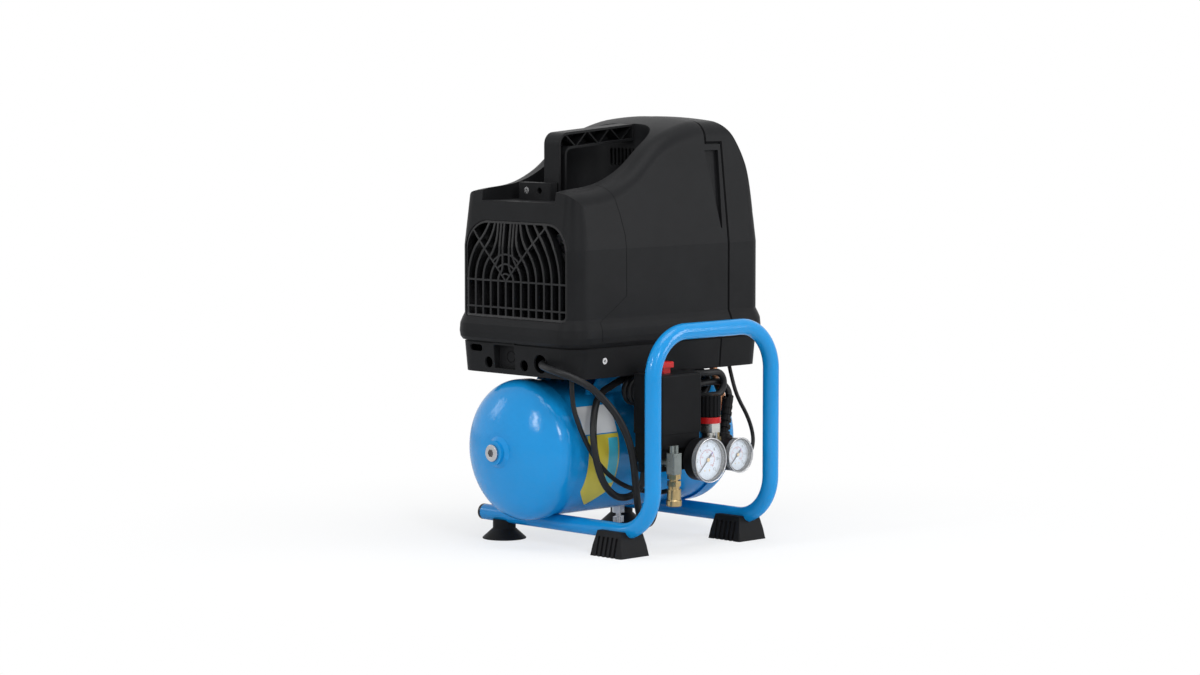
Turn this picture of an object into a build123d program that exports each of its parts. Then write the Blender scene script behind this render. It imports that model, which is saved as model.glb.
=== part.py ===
from build123d import *
import os
from math import atan, cos, radians, sin, sqrt, tan

# Portable oil-free air compressor: a small lying tank on a bent-tube cradle, with the motor and
# pump in a black moulded housing above it and the switch, regulator and gauges behind a front loop.
# +X runs along the tank, +Y from the front loop to the back, +Z up. Origin: floor, middle of the part.

# Fits
seat_gap = 0.05        # between pieces that are welded, screwed or pushed together
run_gap = 0.05         # radial, between a shaft and its bore
slide_gap = 0.3        # between pieces that move past each other
moulding_gap = 0.3     # between moulded shells

# Cradle: one tube, two rails on the floor side and a guard loop at the front
tube_d = 20.0
tube_wall = 1.5
rail_spacing = 208.0
rail_z = 30.0
loop_y = -146.5
loop_top_z = 274.0
bend_r = 55.0
rail_rear_y = 152.5
cap_flange = 4.0
cap_spigot = 14.0

# Feet
foot_length = 50.0
foot_width = 55.0
foot_height = 31.0
foot_draft = 13.0
foot_y = -89.5
foot_rib_count = 6
foot_rib_pitch = 7.6
foot_groove_width = 3.6
foot_groove_depth = 2.4
cup_d = 55.0
cup_rim = 2.5
cup_hollow = 6.0
cup_neck_d = 29.0
cup_neck_z = 13.0
cup_top_z = 24.0
cup_y = 117.5

# Tank
tank_y = 45.5
tank_z = 121.0
shell_r = 85.0
shell_wall = 2.2
shell_half = 132.0
head_wall = 2.5
head_edge_x = 124.0
head_dome_x = 138.0
head_depth = 43.0
boss_base_r = 21.0
boss_r = 15.0
boss_height = 8.0
plug_r = 10.5
plug_head = 4.0
plug_shank_r = 8.0
plug_shank = 10.0
plug_socket = 9.0

# Drain under the tank
drain_x = 27.0
drain_hex = 14.0
drain_body = 9.0
drain_stem_r = 3.0
drain_wing = 18.0
drain_wing_z = 14.0
drain_wing_height = 8.0

# Saddle bracket between tank and tray
saddle_half_y = 52.0
saddle_left_x = -80.0
saddle_right_x = 86.0
saddle_sheet = 2.0
saddle_step = 12.0

# Housing, seen from above: a rounded rectangle
house_left_x = -158.0
house_right_x = 176.0
house_front_y = -66.5
house_back_y = 145.5
house_corner_r = 24.0
house_top_z = 529.5
tray_bottom_z = 215.0
tray_top_z = 254.0
tray_wall = 3.0
tray_draft = 5.0
tray_rebate = 1.8
tray_seam_x = 98.0
tray_seam_width = 4.0
tray_seam_depth = 1.2
cowl_wall = 3.0
crease_z = 372.0
lean_in = 18.0
crown_drop = 8.0
shoulder_r = 24.0
rim_profile = (         # x, and how far the top lies below the highest line
    (-178.0, 88.5), (-150.0, 84.5), (-118.0, 80.5), (-90.0, 76.5), (-66.0, 68.5), (-40.0, 54.5),
    (-16.0, 35.5), (8.0, 19.5), (32.0, 9.5), (60.0, 2.0), (86.0, 0.0))
end_profile = ((95.0, 0.0), (130.0, 18.5), (153.0, 59.5), (167.0, 118.5))
flare_profile = ((0.0, 2.5), (4.0, 5.4), (11.0, 6.5), (21.0, 5.6), (28.0, 2.6), (33.0, 0.0))

# Seam between main cowl and end cowl, with its step near the top
seam_x = 110.0
seam_top_x = 82.0
seam_step_z = house_top_z - 33.5
seam_gap = 1.4
lip_depth = 3.5
wedge_top_width = 24.0
wedge_height = 98.0
wedge_depth = 5.0
wedge_offset = 5.0

# Handle well in the top of the main cowl
well_floor_z = 428.0
well_half_width = 65.5
well_end_x = 36.0
well_corner_r = 42.0
vent_slots = 7
vent_pitch = 6.6
vent_slot_width = 3.6
vent_slot_height = 22.0
vent_z = house_top_z - 50.5

# Handle
handle_y = 40.0
handle_width = 27.0
handle_left_x = -94.5
handle_post = 13.0
handle_bar = 21.0
handle_left_z = house_top_z - 18.5
handle_right_z = house_top_z - 8.5
handle_outer_r = 15.0
handle_inner_r = 8.0
handle_skin = 3.0
handle_pocket = 21.0
truss_count = 6
truss_web = 2.0
truss_inset = 4.0
handle_boss_width = 56.0
handle_boss_depth = 14.0
handle_boss_height = 22.0
handle_boss_y = 56.0

# Air grille in the left face, centred on the motor axis
motor_y = 56.5
motor_z = 330.0
window_front_y = -52.0
window_back_y = 131.0
window_bottom_z = 284.0
window_top_z = 404.0
window_top_r = 38.0
window_bottom_r = 8.0
grille_recess = 1.0
grille_thick = 11.0
grille_frame = 3.0
rib_pitch = 13.7
rib_width = 3.0
rib_count_front = 7
rib_count_back = 5
bar_width = 2.2
lower_bar_drop = 33.0
hub_rings = (9.0, 21.0, 33.0)

# Tray openings on the left face and screws
slot_y = 110.5
slot_z = 245.0
slot_length = 22.5
slot_height = 8.5
port_r = 7.0
port_places = ((89.0, 228.0), (25.0, 227.5))
recess_y = 59.5         # blank recess between the ports, with a round knock-out
recess_z = 236.0
recess_width = 37.5
recess_height = 29.0
recess_depth = 11.0
recess_r = 1.5
knockout_y = 57.5
knockout_r = 7.5
knockout_groove = 0.9
cable_hole_y = -4.5
cable_hole_z = 231.5
cable_hole_r = 11.5
screw_x = -104.7
screw_z = 236.0
screw_r = 4.0
screw_length = 10.0
handle_screw_y = 69.5
handle_screw_z = 440.0

# Motor
stator_r = 58.0
stator_left_x = -30.0
stator_right_x = 40.0
rotor_r = 32.0
air_gap = 0.6
shaft_r = 8.0
shaft_left_x = -122.0
shaft_right_x = 96.0
bearing_r = 16.0
bearing_width = 10.0
shield_thick = 14.0
shield_windows = 6
leg_half_y = 42.0
leg_width = 24.0
mount_r = 10.0
mount_height = 18.0
fan_left_x = -120.0
fan_width = 18.0
fan_hub_r = 15.0
fan_r = 70.0
fan_blades = 7
fan_blade_thick = 2.4
fan_pitch = 32.0

# Pump
case_length = 72.0
case_half_y = 46.0
case_half_z = 50.0
case_wall = 6.0
pump_x = 85.0
crank_throw = 10.0
journal_r = 14.0
journal_width = 16.0
balance_r = 32.0
balance_width = 8.0
rod_width = 12.0
rod_eye_wall = 6.0
rod_shank = 16.0
bore_r = 30.0
sleeve_wall = 4.5
fin_r = 41.0
fin_count = 4
fin_thick = 2.5
piston_height = 9.0
sleeve_height = 58.0
plate_size = 86.0
plate_thick = 5.0
head_height = 26.0
head_fins = 6
head_fin_gap = 6.0
head_fin_depth = 14.0
head_bolt_spread = 68.0
head_bolt_r = 3.0
head_bolt_cap_r = 5.5
head_bolt_cap = 6.0

# Delivery pipe and check valve
pipe_r = 5.0
pipe_wall = 1.0
pipe_bend_r = 12.0
valve_x = 112.0
valve_y = -54.0
valve_z = 132.0
valve_top_z = 156.0
valve_r = 9.0
valve_hex = 19.0
pipe_drop_y = -40.0
pipe_hole_r = 7.0

# Manifold, carried by a nipple on the tank
manifold_left_x = -62.0
manifold_right_x = 66.0
manifold_front_y = -114.0
manifold_back_y = -90.0
manifold_bottom_z = 100.0
manifold_top_z = 128.0
nipple_x = -12.0
nipple_z = 115.0
nipple_r = 9.0
safety_x = 59.5
safety_y = -96.0
safety_r = 3.5
safety_hex = 10.0

# Pressure switch
switch_left_x = -63.5
switch_right_x = 6.5
switch_front_y = -121.5
switch_back_y = -71.5
switch_split_z = 146.0
switch_top_z = 219.0
switch_wall = 2.5
switch_edge_r = 3.0
terminal_bottom_z = 110.0
terminal_right_x = -30.0
gland_r = 8.0
gland_bottom_z = 98.0
gland_x = (-54.0, -37.0)
gland_y = -81.0
button_x = -35.0
button_y = -98.0
button_length = 20.0
button_width = 14.0
button_stem_length = 12.0
button_stem_width = 8.0
button_cap = 7.0
button_rise = 7.0
button_depth = 24.0

# Regulator
regulator_x = 39.0
regulator_y = -102.0
regulator_foot_r = 11.0
regulator_hex = 25.0
regulator_hex_z = 141.0
regulator_ring_z = 152.5
regulator_ring_r = 15.0
knob_z = 160.3
knob_top_z = 187.0
knob_r = 14.6
knob_flutes = 16
knob_flute_r = 1.4
stem_r = 5.0
stem_top_z = 180.0

# Outlet block and quick coupler
outlet_x = -54.0
outlet_y = -133.0
outlet_size = 14.0
outlet_bottom_z = 99.0
outlet_top_z = 125.0
outlet_link_r = 5.0
outlet_plug_r = 3.2
outlet_plug_height = 9.0
coupler_hex = 15.0
coupler_nut_z = 93.0
coupler_neck_r = 5.5
coupler_hex_bottom_z = 84.5
coupler_hex_top_z = 91.0
spigot_r = 7.0
coupler_bore_r = 5.2
coupler_bore_depth = 20.0
coupler_bottom_z = 60.0
sleeve_r = 8.6
collar_r = 9.6
collar_height = 7.0
sleeve_top_z = 81.0

# Gauges: name, centre X, centre Z, rim radius
gauges = (("tank_gauge", -4.0, 113.0, 27.5), ("line_gauge", 49.0, 115.0, 22.0))
gauge_back_y = -122.0
gauge_face_y = -148.0
gauge_stem_r = 6.0
gauge_case_wall = 1.2
gauge_rim = 1.4
gauge_dial_y = -140.0
gauge_dial_thick = 1.0
gauge_lens_thick = 1.5
gauge_cap_lap = 7.0
needle_gap = 0.6
needle_thick = 0.8
needle_hub_r = 2.6
needle_pin_r = 1.0
needle_zero = 225.0     # degrees anticlockwise from +X, where the pointer rests

# Cords: real diameters, and routes chosen by hand
lead_d = 9.0
hose_d = 6.0
line_d = 5.0
motor_lead_route = (
    (-138.0, 2.0, 233.0), (-152.0, -4.0, 232.0), (-163.5, -14.5, 231.0), (-170.5, -32.0, 229.0),
    (-171.0, -50.0, 226.0), (-163.0, -66.0, 220.5),
    (-146.0, -82.0, 209.0), (-122.0, -92.0, 184.0), (-101.0, -94.0, 157.0), (-85.0, -92.0, 127.0),
    (-77.0, -89.0, 95.0), (-73.0, -88.0, 68.0), (-67.0, -86.0, 47.0), (-58.0, -84.0, 33.0),
    (-44.0, -82.5, 32.0), (-36.0, -82.0, 45.0), (-35.5, -81.5, 64.0), (-37.0, -81.0, 82.0),
    (-37.0, -81.0, 98.0),
)
mains_lead_route = (
    (-54.0, -81.0, 98.0), (-54.0, -81.0, 84.0), (-64.0, -74.0, 68.0), (-86.0, -70.0, 66.0),
    (-106.0, -68.0, 80.0), (-119.0, -67.0, 106.0), (-124.0, -64.0, 137.0), (-115.0, -55.0, 168.0),
    (-93.0, -41.0, 193.0), (-58.5, -39.9, 196.0),
)
pressure_hose_route = (
    (-137.0, -40.0, 216.0), (-139.0, -42.0, 192.0), (-135.0, -45.0, 167.0), (-122.0, -48.0, 138.0),
    (-105.0, -51.0, 111.0), (-83.0, -54.0, 90.0), (-58.0, -56.0, 76.0), (-35.0, -60.0, 70.0),
    (-22.0, -77.0, 68.0), (-20.0, -96.0, 73.0), (-20.0, -102.0, 86.0), (-20.0, -102.0, 100.0),
)
relief_hose_route = (
    (130.0, -50.0, 216.0), (130.0, -56.0, 196.0), (132.0, -63.0, 175.0), (141.0, -74.0, 149.0),
    (140.0, -84.0, 126.0), (130.0, -91.0, 110.0), (110.0, -99.0, 106.0), (88.0, -103.0, 110.0),
    (66.0, -103.0, 110.0),
)

# Put-away turns of the mains lead behind the switch, and its plug
hank_left_x = -58.0
hank_right_x = 122.0
hank_front_y = -71.4
hank_tuck = 26.0
hank_back_turns = 3
hank_z = 195.0
hank_height = 38.0
plug_tip = (80.0, -82.0, 104.0)
plug_cord_end = (111.5, -67.5, 178.5)
plug_body_r = 13.0
plug_body_length = 30.0
grip_r = 8.5
boot_core_r = 6.2
grip_rings = 6
pin_r = 2.4
pin_length = 16.0
pin_spread = 9.5

# Worked out from the sizes above
rail_x = rail_spacing / 2
tube_r = tube_d / 2
house_x = (house_left_x + house_right_x) / 2
house_y = (house_front_y + house_back_y) / 2
house_length = house_right_x - house_left_x
house_width = house_back_y - house_front_y
cowl_bottom_z = tray_top_z + moulding_gap
head_r = shell_r + head_wall
head_apex_x = head_dome_x + head_depth
tray_floor_z = tray_bottom_z + tray_wall
leg_bottom_z = tray_floor_z + mount_height
case_top_z = motor_z + case_half_z
sleeve_top = case_top_z + sleeve_height
plate_top_z = sleeve_top + plate_thick
pump_top_z = plate_top_z + head_height
mid_stroke_z = sleeve_top - crank_throw - piston_height
far = 400.0             # longer than the part, for cuts that go right through


def upright(x, y, z=0.0):
    """Plane with local X along X and local Y up, for shapes turned about a vertical axis."""
    return Plane(origin=(x, y, z), x_dir=(1, 0, 0), z_dir=(0, -1, 0))


def lengthwise(y, z):
    """Plane with local X up and local Y along X, for shapes turned about an axis along X."""
    return Plane(origin=(0, y, z), x_dir=(0, 0, 1), z_dir=(0, 1, 0))


def facing_front(x, z):
    """Plane with local X along X and local Y towards the front, for shapes turned about Y."""
    return Plane(origin=(x, 0, z), x_dir=(1, 0, 0), z_dir=(0, 0, -1))


def cradle_tube(radius, bore_radius=0.0):
    """The cradle's whole run as a solid bar, or as a tube where a bore is given."""
    with BuildPart() as bar:
        with BuildLine() as run:
            FilletPolyline(
                (-rail_x, rail_rear_y, rail_z), (-rail_x, loop_y, rail_z), (-rail_x, loop_y, loop_top_z),
                (rail_x, loop_y, loop_top_z), (rail_x, loop_y, rail_z), (rail_x, rail_rear_y, rail_z),
                radius=bend_r)
        with BuildSketch(Plane(run.line @ 0, z_dir=run.line % 0)):
            Circle(radius)
            if bore_radius:
                Circle(bore_radius, mode=Mode.SUBTRACT)
        sweep(path=run.line)
    return bar.part


def tank_bar(radius):
    """A bar on the tank's axis, for seats that follow the shell."""
    with BuildPart() as bar:
        with BuildSketch(Plane.YZ):
            with Locations((tank_y, tank_z)):
                Circle(radius)
        extrude(amount=head_edge_x, both=True)
    return bar.part


def house_plan(inset, mode=Mode.ADD):
    """The housing's rounded rectangle, drawn in by the inset, in the sketch that is open."""
    with Locations((house_x, house_y)):
        RectangleRounded(
            house_length - 2 * inset, house_width - 2 * inset, house_corner_r - inset, mode=mode)


def tray_block(inset, floor):
    """The tray's tapered block, drawn in by the inset and ending above its floor."""
    with BuildPart() as block:
        with BuildSketch(Plane.XY.offset(tray_top_z)):
            house_plan(inset)
        extrude(amount=-(tray_top_z - tray_bottom_z - floor), taper=tray_draft)
    return block.part


def tray_seam():
    """A shallow groove down the tray's front and back, below the seam of the cowls."""
    with BuildPart() as groove:
        add(tray_block(0, 0))
        add(tray_block(tray_seam_depth, 0), mode=Mode.SUBTRACT)
        with BuildSketch(Plane.XZ):
            with Locations((tray_seam_x, tray_top_z)):
                Rectangle(tray_seam_width, far)
        extrude(amount=far, both=True, mode=Mode.INTERSECT)
    return groove.part


def tray_recess(grow):
    """The blank recess in the tray's left face, or its walls when grown by their thickness."""
    with BuildPart() as recess:
        with BuildSketch(Plane.YZ.offset(house_left_x)):
            with Locations((recess_y, recess_z)):
                RectangleRounded(recess_width + 2 * grow, recess_height + 2 * grow, recess_r + grow)
        extrude(amount=recess_depth + grow)
        add(tray_block(0, 0), mode=Mode.INTERSECT)
    return recess.part


def drawn_in(curve, inset):
    """A curve that keeps the inset below one drawn from left to right, in the line that is open."""
    points = []
    for t in (0, 0.125, 0.25, 0.375, 0.5, 0.625, 0.75, 0.875, 1):
        along = curve % t
        points.append(curve @ t + Vector(along.Y, -along.X) * inset)
    return Spline(*points, tangents=(curve % 0, curve % 1))


def shoulder_section(section, top_z, inset):
    """The housing cut across: leaning sides, rounded shoulders and a crowned top, in the open section."""
    half = house_width / 2 - inset
    half_top = half - lean_in * (top_z - crease_z) / (house_top_z - crease_z)
    crown_r = (half_top ** 2 + crown_drop ** 2) / (2 * crown_drop) - inset
    Polygon(
        (house_y - half_top, top_z), (house_y - half, crease_z),
        (house_y + half, crease_z), (house_y + half_top, top_z), align=None)
    with Locations((house_y, top_z - inset - crown_r)):
        Circle(crown_r, mode=Mode.INTERSECT)
    fillet(section.vertices().group_by(Axis.Y)[-1], min(shoulder_r, (top_z - crease_z) / 2) - inset)


def leaning_block(inset):
    """The housing's plan above the crease, drawn in evenly towards the top."""
    with BuildPart() as block:
        with BuildSketch(Plane.XY.offset(crease_z)):
            house_plan(inset)
        with BuildSketch(Plane.XY.offset(house_top_z + 1)):
            house_plan(inset + lean_in)
        loft(ruled=True)
    return block.part


def housing_hull(inset):
    """The housing's form above the tray, drawn in by the inset on every side but the open bottom."""
    with BuildPart() as hull:
        for x, drop in rim_profile:
            with BuildSketch(Plane.YZ.offset(x)) as section:
                shoulder_section(section, house_top_z - drop, inset)
        loft()
        with BuildSketch(Plane.YZ.offset(rim_profile[-1][0])) as section:
            shoulder_section(section, house_top_z, inset)
        extrude(amount=house_length)
        with BuildSketch(Plane.XZ):
            with BuildLine():
                corner = [(x, house_top_z - drop) for x, drop in end_profile]
                end = drawn_in(Spline(
                    *corner, (house_right_x + 1, crease_z), tangents=((1, 0), (0.2, -1)),
                    mode=Mode.PRIVATE), inset)
                Polyline(
                    end @ 1, (end @ 1 + Vector(0, -far)), (-far, crease_z - far),
                    (-far, house_top_z - inset), end @ 0)
            make_face()
        extrude(amount=far, both=True, mode=Mode.INTERSECT)
        add(leaning_block(inset), mode=Mode.INTERSECT)
        with BuildSketch(Plane.XY.offset(cowl_bottom_z)):
            house_plan(inset)
        extrude(amount=crease_z - cowl_bottom_z)
        for (low, low_flare), (high, high_flare) in zip(flare_profile, flare_profile[1:]):
            with BuildSketch(Plane.XY.offset(cowl_bottom_z + low)):
                house_plan(inset - low_flare)
            with BuildSketch(Plane.XY.offset(cowl_bottom_z + high)):
                house_plan(inset - high_flare)
            loft(ruled=True)
    return hull.part


def main_side(gap):
    """Outline, seen from the front, of what lies left of the seam, moved right by the gap."""
    return ((-far, 0), (seam_x + gap, 0), (seam_x + gap, seam_step_z + gap),
            (seam_top_x + gap, seam_step_z + gap), (seam_top_x + gap, 2 * far), (-far, 2 * far))


os.makedirs("parts", exist_ok=True)

# Cradle frame, notched where the tank is seated on its rails
tank_seat = tank_bar(shell_r + seat_gap)
with BuildPart() as cradle_frame:
    add(cradle_tube(tube_r, tube_r - tube_wall))
    add(tank_seat, mode=Mode.SUBTRACT)
cradle_frame.part.label = "cradle_frame"
export_step(cradle_frame.part, "parts/cradle_frame.step")

# Plastic caps in the open rail ends
with BuildPart() as rail_end_caps:
    for side in (-1, 1):
        with BuildSketch(Plane.XZ.offset(-rail_rear_y)):
            with Locations((side * rail_x, rail_z)):
                Circle(tube_r)
        extrude(amount=-cap_flange)
        with BuildSketch(Plane.XZ.offset(-rail_rear_y)):
            with Locations((side * rail_x, rail_z)):
                Circle(tube_r - tube_wall - seat_gap)
        extrude(amount=cap_spigot)
rail_end_caps.part.label = "rail_end_caps"
export_step(rail_end_caps.part, "parts/rail_end_caps.step")

# Feet: ribbed rubber blocks under the bends, suction cups under the rail ends
tube_seat = cradle_tube(tube_r + seat_gap)
for side, name in ((-1, "left"), (1, "right")):
    with BuildPart() as front_foot:
        with BuildSketch():
            with Locations((side * rail_x, foot_y)):
                RectangleRounded(foot_length, foot_width, 3)
        extrude(amount=foot_height, taper=foot_draft)
        for face in (-1, 1):
            flank = Plane(
                origin=(side * rail_x + face * foot_length / 2, foot_y, 0), x_dir=(0, face, 0),
                z_dir=(face * cos(radians(foot_draft)), 0, sin(radians(foot_draft))))
            with BuildSketch(flank):
                with GridLocations(foot_rib_pitch, 1, foot_rib_count - 1, 1):
                    Rectangle(foot_groove_width, 2 * foot_height * 0.8)
            extrude(amount=-foot_groove_depth, mode=Mode.SUBTRACT)
        add(tube_seat, mode=Mode.SUBTRACT)
    front_foot.part.label = f"front_foot_{name}"
    export_step(front_foot.part, f"parts/front_foot_{name}.step")

    with BuildPart() as suction_foot:
        with BuildSketch(upright(side * rail_x, cup_y)):
            Polygon(
                (0, cup_hollow), (cup_d / 2 - cup_rim, 0), (cup_d / 2, 0), (cup_d / 2, 1.2),
                (cup_neck_d / 2, cup_neck_z), (cup_neck_d / 2, cup_top_z), (0, cup_top_z), align=None)
        revolve(axis=Axis((side * rail_x, cup_y, 0), (0, 0, 1)))
        add(tube_seat, mode=Mode.SUBTRACT)
    suction_foot.part.label = f"suction_foot_{name}"
    export_step(suction_foot.part, f"parts/suction_foot_{name}.step")

# Tank: rolled shell, two domed heads lapped over it, a socket plug in each head
tank_axis = Axis((0, tank_y, tank_z), (1, 0, 0))
with BuildPart() as tank_shell:
    with BuildSketch(lengthwise(tank_y, tank_z)):
        with Locations((shell_r - shell_wall / 2, 0)):
            Rectangle(shell_wall, 2 * shell_half)
    revolve(axis=tank_axis)
tank_shell.part.label = "tank_shell"
export_step(tank_shell.part, "parts/tank_shell.step")

with BuildPart() as tank_head_right:
    with BuildSketch(lengthwise(tank_y, tank_z)):
        with BuildLine():
            outer_dome = EllipticalCenterArc((0, head_dome_x), head_r, head_depth, start_angle=0, arc_size=90)
            inner_dome = EllipticalCenterArc(
                (0, head_dome_x), shell_r + seat_gap, head_depth - head_wall, start_angle=0, arc_size=90)
            Polyline(outer_dome @ 0, (head_r, head_edge_x), (shell_r + seat_gap, head_edge_x), inner_dome @ 0)
            Line(outer_dome @ 1, inner_dome @ 1)
        make_face()
        Polygon(
            (0, head_apex_x - head_wall), (boss_base_r, head_apex_x - head_wall), (boss_r, head_apex_x + 3),
            (boss_r, head_apex_x + boss_height), (0, head_apex_x + boss_height), align=None)
        Polygon(
            (0, head_dome_x), (plug_shank_r + seat_gap, head_dome_x),
            (plug_shank_r + seat_gap, head_apex_x + boss_height), (0, head_apex_x + boss_height),
            align=None, mode=Mode.SUBTRACT)
    revolve(axis=tank_axis)
tank_head_right.part.label = "tank_head_right"
export_step(tank_head_right.part, "parts/tank_head_right.step")

with BuildPart() as tank_head_left:
    mirror(tank_head_right.part, about=Plane.YZ)
tank_head_left.part.label = "tank_head_left"
export_step(tank_head_left.part, "parts/tank_head_left.step")

plug_seat_x = head_apex_x + boss_height
with BuildPart() as tank_plugs:
    with BuildSketch(lengthwise(tank_y, tank_z)):
        Polygon(
            (0, plug_seat_x - plug_shank), (plug_shank_r, plug_seat_x - plug_shank),
            (plug_shank_r, plug_seat_x),
            (plug_r, plug_seat_x), (plug_r, plug_seat_x + plug_head - 1),
            (plug_r - 1, plug_seat_x + plug_head),
            (0, plug_seat_x + plug_head), align=None)
    revolve(axis=tank_axis)
    with BuildSketch(Plane.YZ.offset(plug_seat_x + plug_head)):
        with Locations((tank_y, tank_z)):
            RegularPolygon(plug_socket / 2, 6, major_radius=False)
    extrude(amount=-2 * plug_head, mode=Mode.SUBTRACT)
    mirror(about=Plane.YZ)
tank_plugs.part.label = "tank_plugs"
export_step(tank_plugs.part, "parts/tank_plugs.step")

# Drain cock at the lowest point of the shell
drain_seat_z = tank_z - shell_r
with BuildPart() as drain_valve:
    with BuildSketch(Plane.XY.offset(drain_seat_z - drain_body)):
        with Locations((drain_x, tank_y)):
            RegularPolygon(drain_hex / 2, 6, major_radius=False)
            Circle(drain_stem_r + run_gap, mode=Mode.SUBTRACT)
    extrude(amount=drain_body + shell_wall)
    add(tank_seat, mode=Mode.SUBTRACT)
drain_valve.part.label = "drain_valve"
export_step(drain_valve.part, "parts/drain_valve.step")

with BuildPart() as drain_screw:
    with BuildSketch(Plane.XY.offset(drain_wing_z)):
        with Locations((drain_x, tank_y)):
            SlotOverall(drain_wing, 3)
            Circle(drain_stem_r + 1.5)
    extrude(amount=drain_wing_height)
    with BuildSketch(Plane.XY.offset(drain_wing_z)):
        with Locations((drain_x, tank_y)):
            Circle(drain_stem_r)
    extrude(amount=drain_seat_z - drain_wing_z - 1)
drain_screw.part.label = "drain_screw"
export_step(drain_screw.part, "parts/drain_screw.step")

# Pressed-sheet saddle welded to the tank; the tray stands on it
with BuildPart() as saddle_bracket:
    with BuildSketch(Plane.XY.offset(tray_bottom_z - saddle_sheet)):
        with Locations(((saddle_left_x + saddle_right_x) / 2 + saddle_step, tank_y)):
            Rectangle(saddle_right_x - saddle_left_x - 2 * saddle_step, 2 * saddle_half_y)
    extrude(amount=saddle_sheet)
    for side in (-1, 1):
        with BuildSketch(Plane.XZ.offset(-tank_y - side * (saddle_half_y - saddle_sheet / 2))):
            Polygon(
                (saddle_left_x, tank_z), (saddle_left_x, tray_bottom_z - 2 * saddle_step + 4),
                (saddle_left_x + saddle_step, tray_bottom_z - 2 * saddle_step + 7),
                (saddle_left_x + 2 * saddle_step, tray_bottom_z), (saddle_right_x, tray_bottom_z),
                (saddle_right_x, tank_z), align=None)
        extrude(amount=saddle_sheet / 2, both=True)
    add(tank_seat, mode=Mode.SUBTRACT)
saddle_bracket.part.label = "saddle_bracket"
export_step(saddle_bracket.part, "parts/saddle_bracket.step")

# Base tray of the housing
with BuildPart() as base_tray:
    add(tray_block(0, 0))
    add(tray_block(tray_wall, tray_wall), mode=Mode.SUBTRACT)
    with BuildSketch(Plane.XY.offset(tray_top_z)):
        house_plan(0)
        house_plan(tray_rebate, mode=Mode.SUBTRACT)
    extrude(amount=-tray_rebate, mode=Mode.SUBTRACT)
    add(tray_seam(), mode=Mode.SUBTRACT)
    left_face = Plane.YZ.offset(house_left_x - 1)
    with BuildSketch(left_face):
        with Locations((slot_y, slot_z)):
            SlotOverall(slot_length, slot_height)
        with Locations(*port_places):
            Circle(port_r)
        with Locations((cable_hole_y, cable_hole_z)):
            Circle(cable_hole_r)
    extrude(amount=house_corner_r, mode=Mode.SUBTRACT)
    add(tray_recess(tray_wall))
    add(tray_recess(0), mode=Mode.SUBTRACT)
    with BuildSketch(Plane.YZ.offset(house_left_x + recess_depth)):
        with Locations((knockout_y, recess_z)):
            Circle(knockout_r)
            Circle(knockout_r - knockout_groove, mode=Mode.SUBTRACT)
    extrude(amount=knockout_groove, mode=Mode.SUBTRACT)
    with BuildSketch(Plane.XY.offset(tray_bottom_z)):
        for (x, y), r in (
                ((valve_x, pipe_drop_y), pipe_hole_r),
                (pressure_hose_route[0][:2], hose_d / 2 + 2 * moulding_gap),
                (relief_hose_route[0][:2], line_d / 2 + 2 * moulding_gap)):
            with Locations((x, y)):
                Circle(r)
    extrude(amount=tray_wall, mode=Mode.SUBTRACT)
    with BuildSketch(Plane.XZ.offset(-house_y)):
        with Locations((screw_x, screw_z)):
            Circle(screw_r + seat_gap)
    extrude(amount=house_width, both=True, mode=Mode.SUBTRACT)
base_tray.part.label = "base_tray"
export_step(base_tray.part, "parts/base_tray.step")

# Main cowl: hollow shell left of the seam, with the handle well let into its top
hull = housing_hull(0)
hull_inside = housing_hull(cowl_wall)


def well_block(grow):
    """The handle well, open upwards and to the left, drawn out by grow."""
    with BuildPart() as block:
        with BuildSketch(Plane.XY.offset(well_floor_z - grow)):
            with Locations((well_end_x + grow - far / 2, house_y)):
                RectangleRounded(far, 2 * (well_half_width + grow), well_corner_r + grow)
        extrude(amount=far)
    return block.part


def window_block(grow):
    """The grille window, pushed through the left face, drawn out by grow."""
    with BuildPart() as block:
        with BuildSketch(Plane.YZ.offset(house_left_x - house_corner_r)) as outline:
            with Locations(((window_front_y + window_back_y) / 2, (window_bottom_z + window_top_z) / 2)):
                Rectangle(
                    window_back_y - window_front_y + 2 * grow, window_top_z - window_bottom_z + 2 * grow)
            fillet(outline.vertices().group_by(Axis.Y)[-1], window_top_r + grow)
            fillet(outline.vertices().group_by(Axis.Y)[0], window_bottom_r + grow)
        extrude(amount=2 * house_corner_r)
    return block.part


def wedge(grow, start, depth):
    """The long triangular recess beside the seam, on the leaning front wall and on the back wall."""
    lean = atan(lean_in / (house_top_z - crease_z))
    right = seam_x - wedge_offset
    top = seam_step_z - crease_z - 2 * lip_depth
    with BuildPart() as block:
        with BuildSketch(Plane(
                origin=(0, house_front_y, crease_z), x_dir=(1, 0, 0), z_dir=(0, -cos(lean), sin(lean)))):
            Polygon(
                (right - wedge_top_width - grow, top + grow), (right + grow, top + grow),
                (right - 3 + grow, top - wedge_height - 2 * grow),
                (right - 5 - grow, top - wedge_height - 2 * grow), align=None)
        extrude(amount=-depth)
        if start:
            with BuildSketch(Plane(
                    origin=(0, house_front_y, crease_z), x_dir=(1, 0, 0), z_dir=(0, -cos(lean), sin(lean)))):
                Rectangle(far, far)
            extrude(amount=-start, mode=Mode.SUBTRACT)
        mirror(about=Plane.XZ.offset(-house_y))
    return block.part


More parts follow.
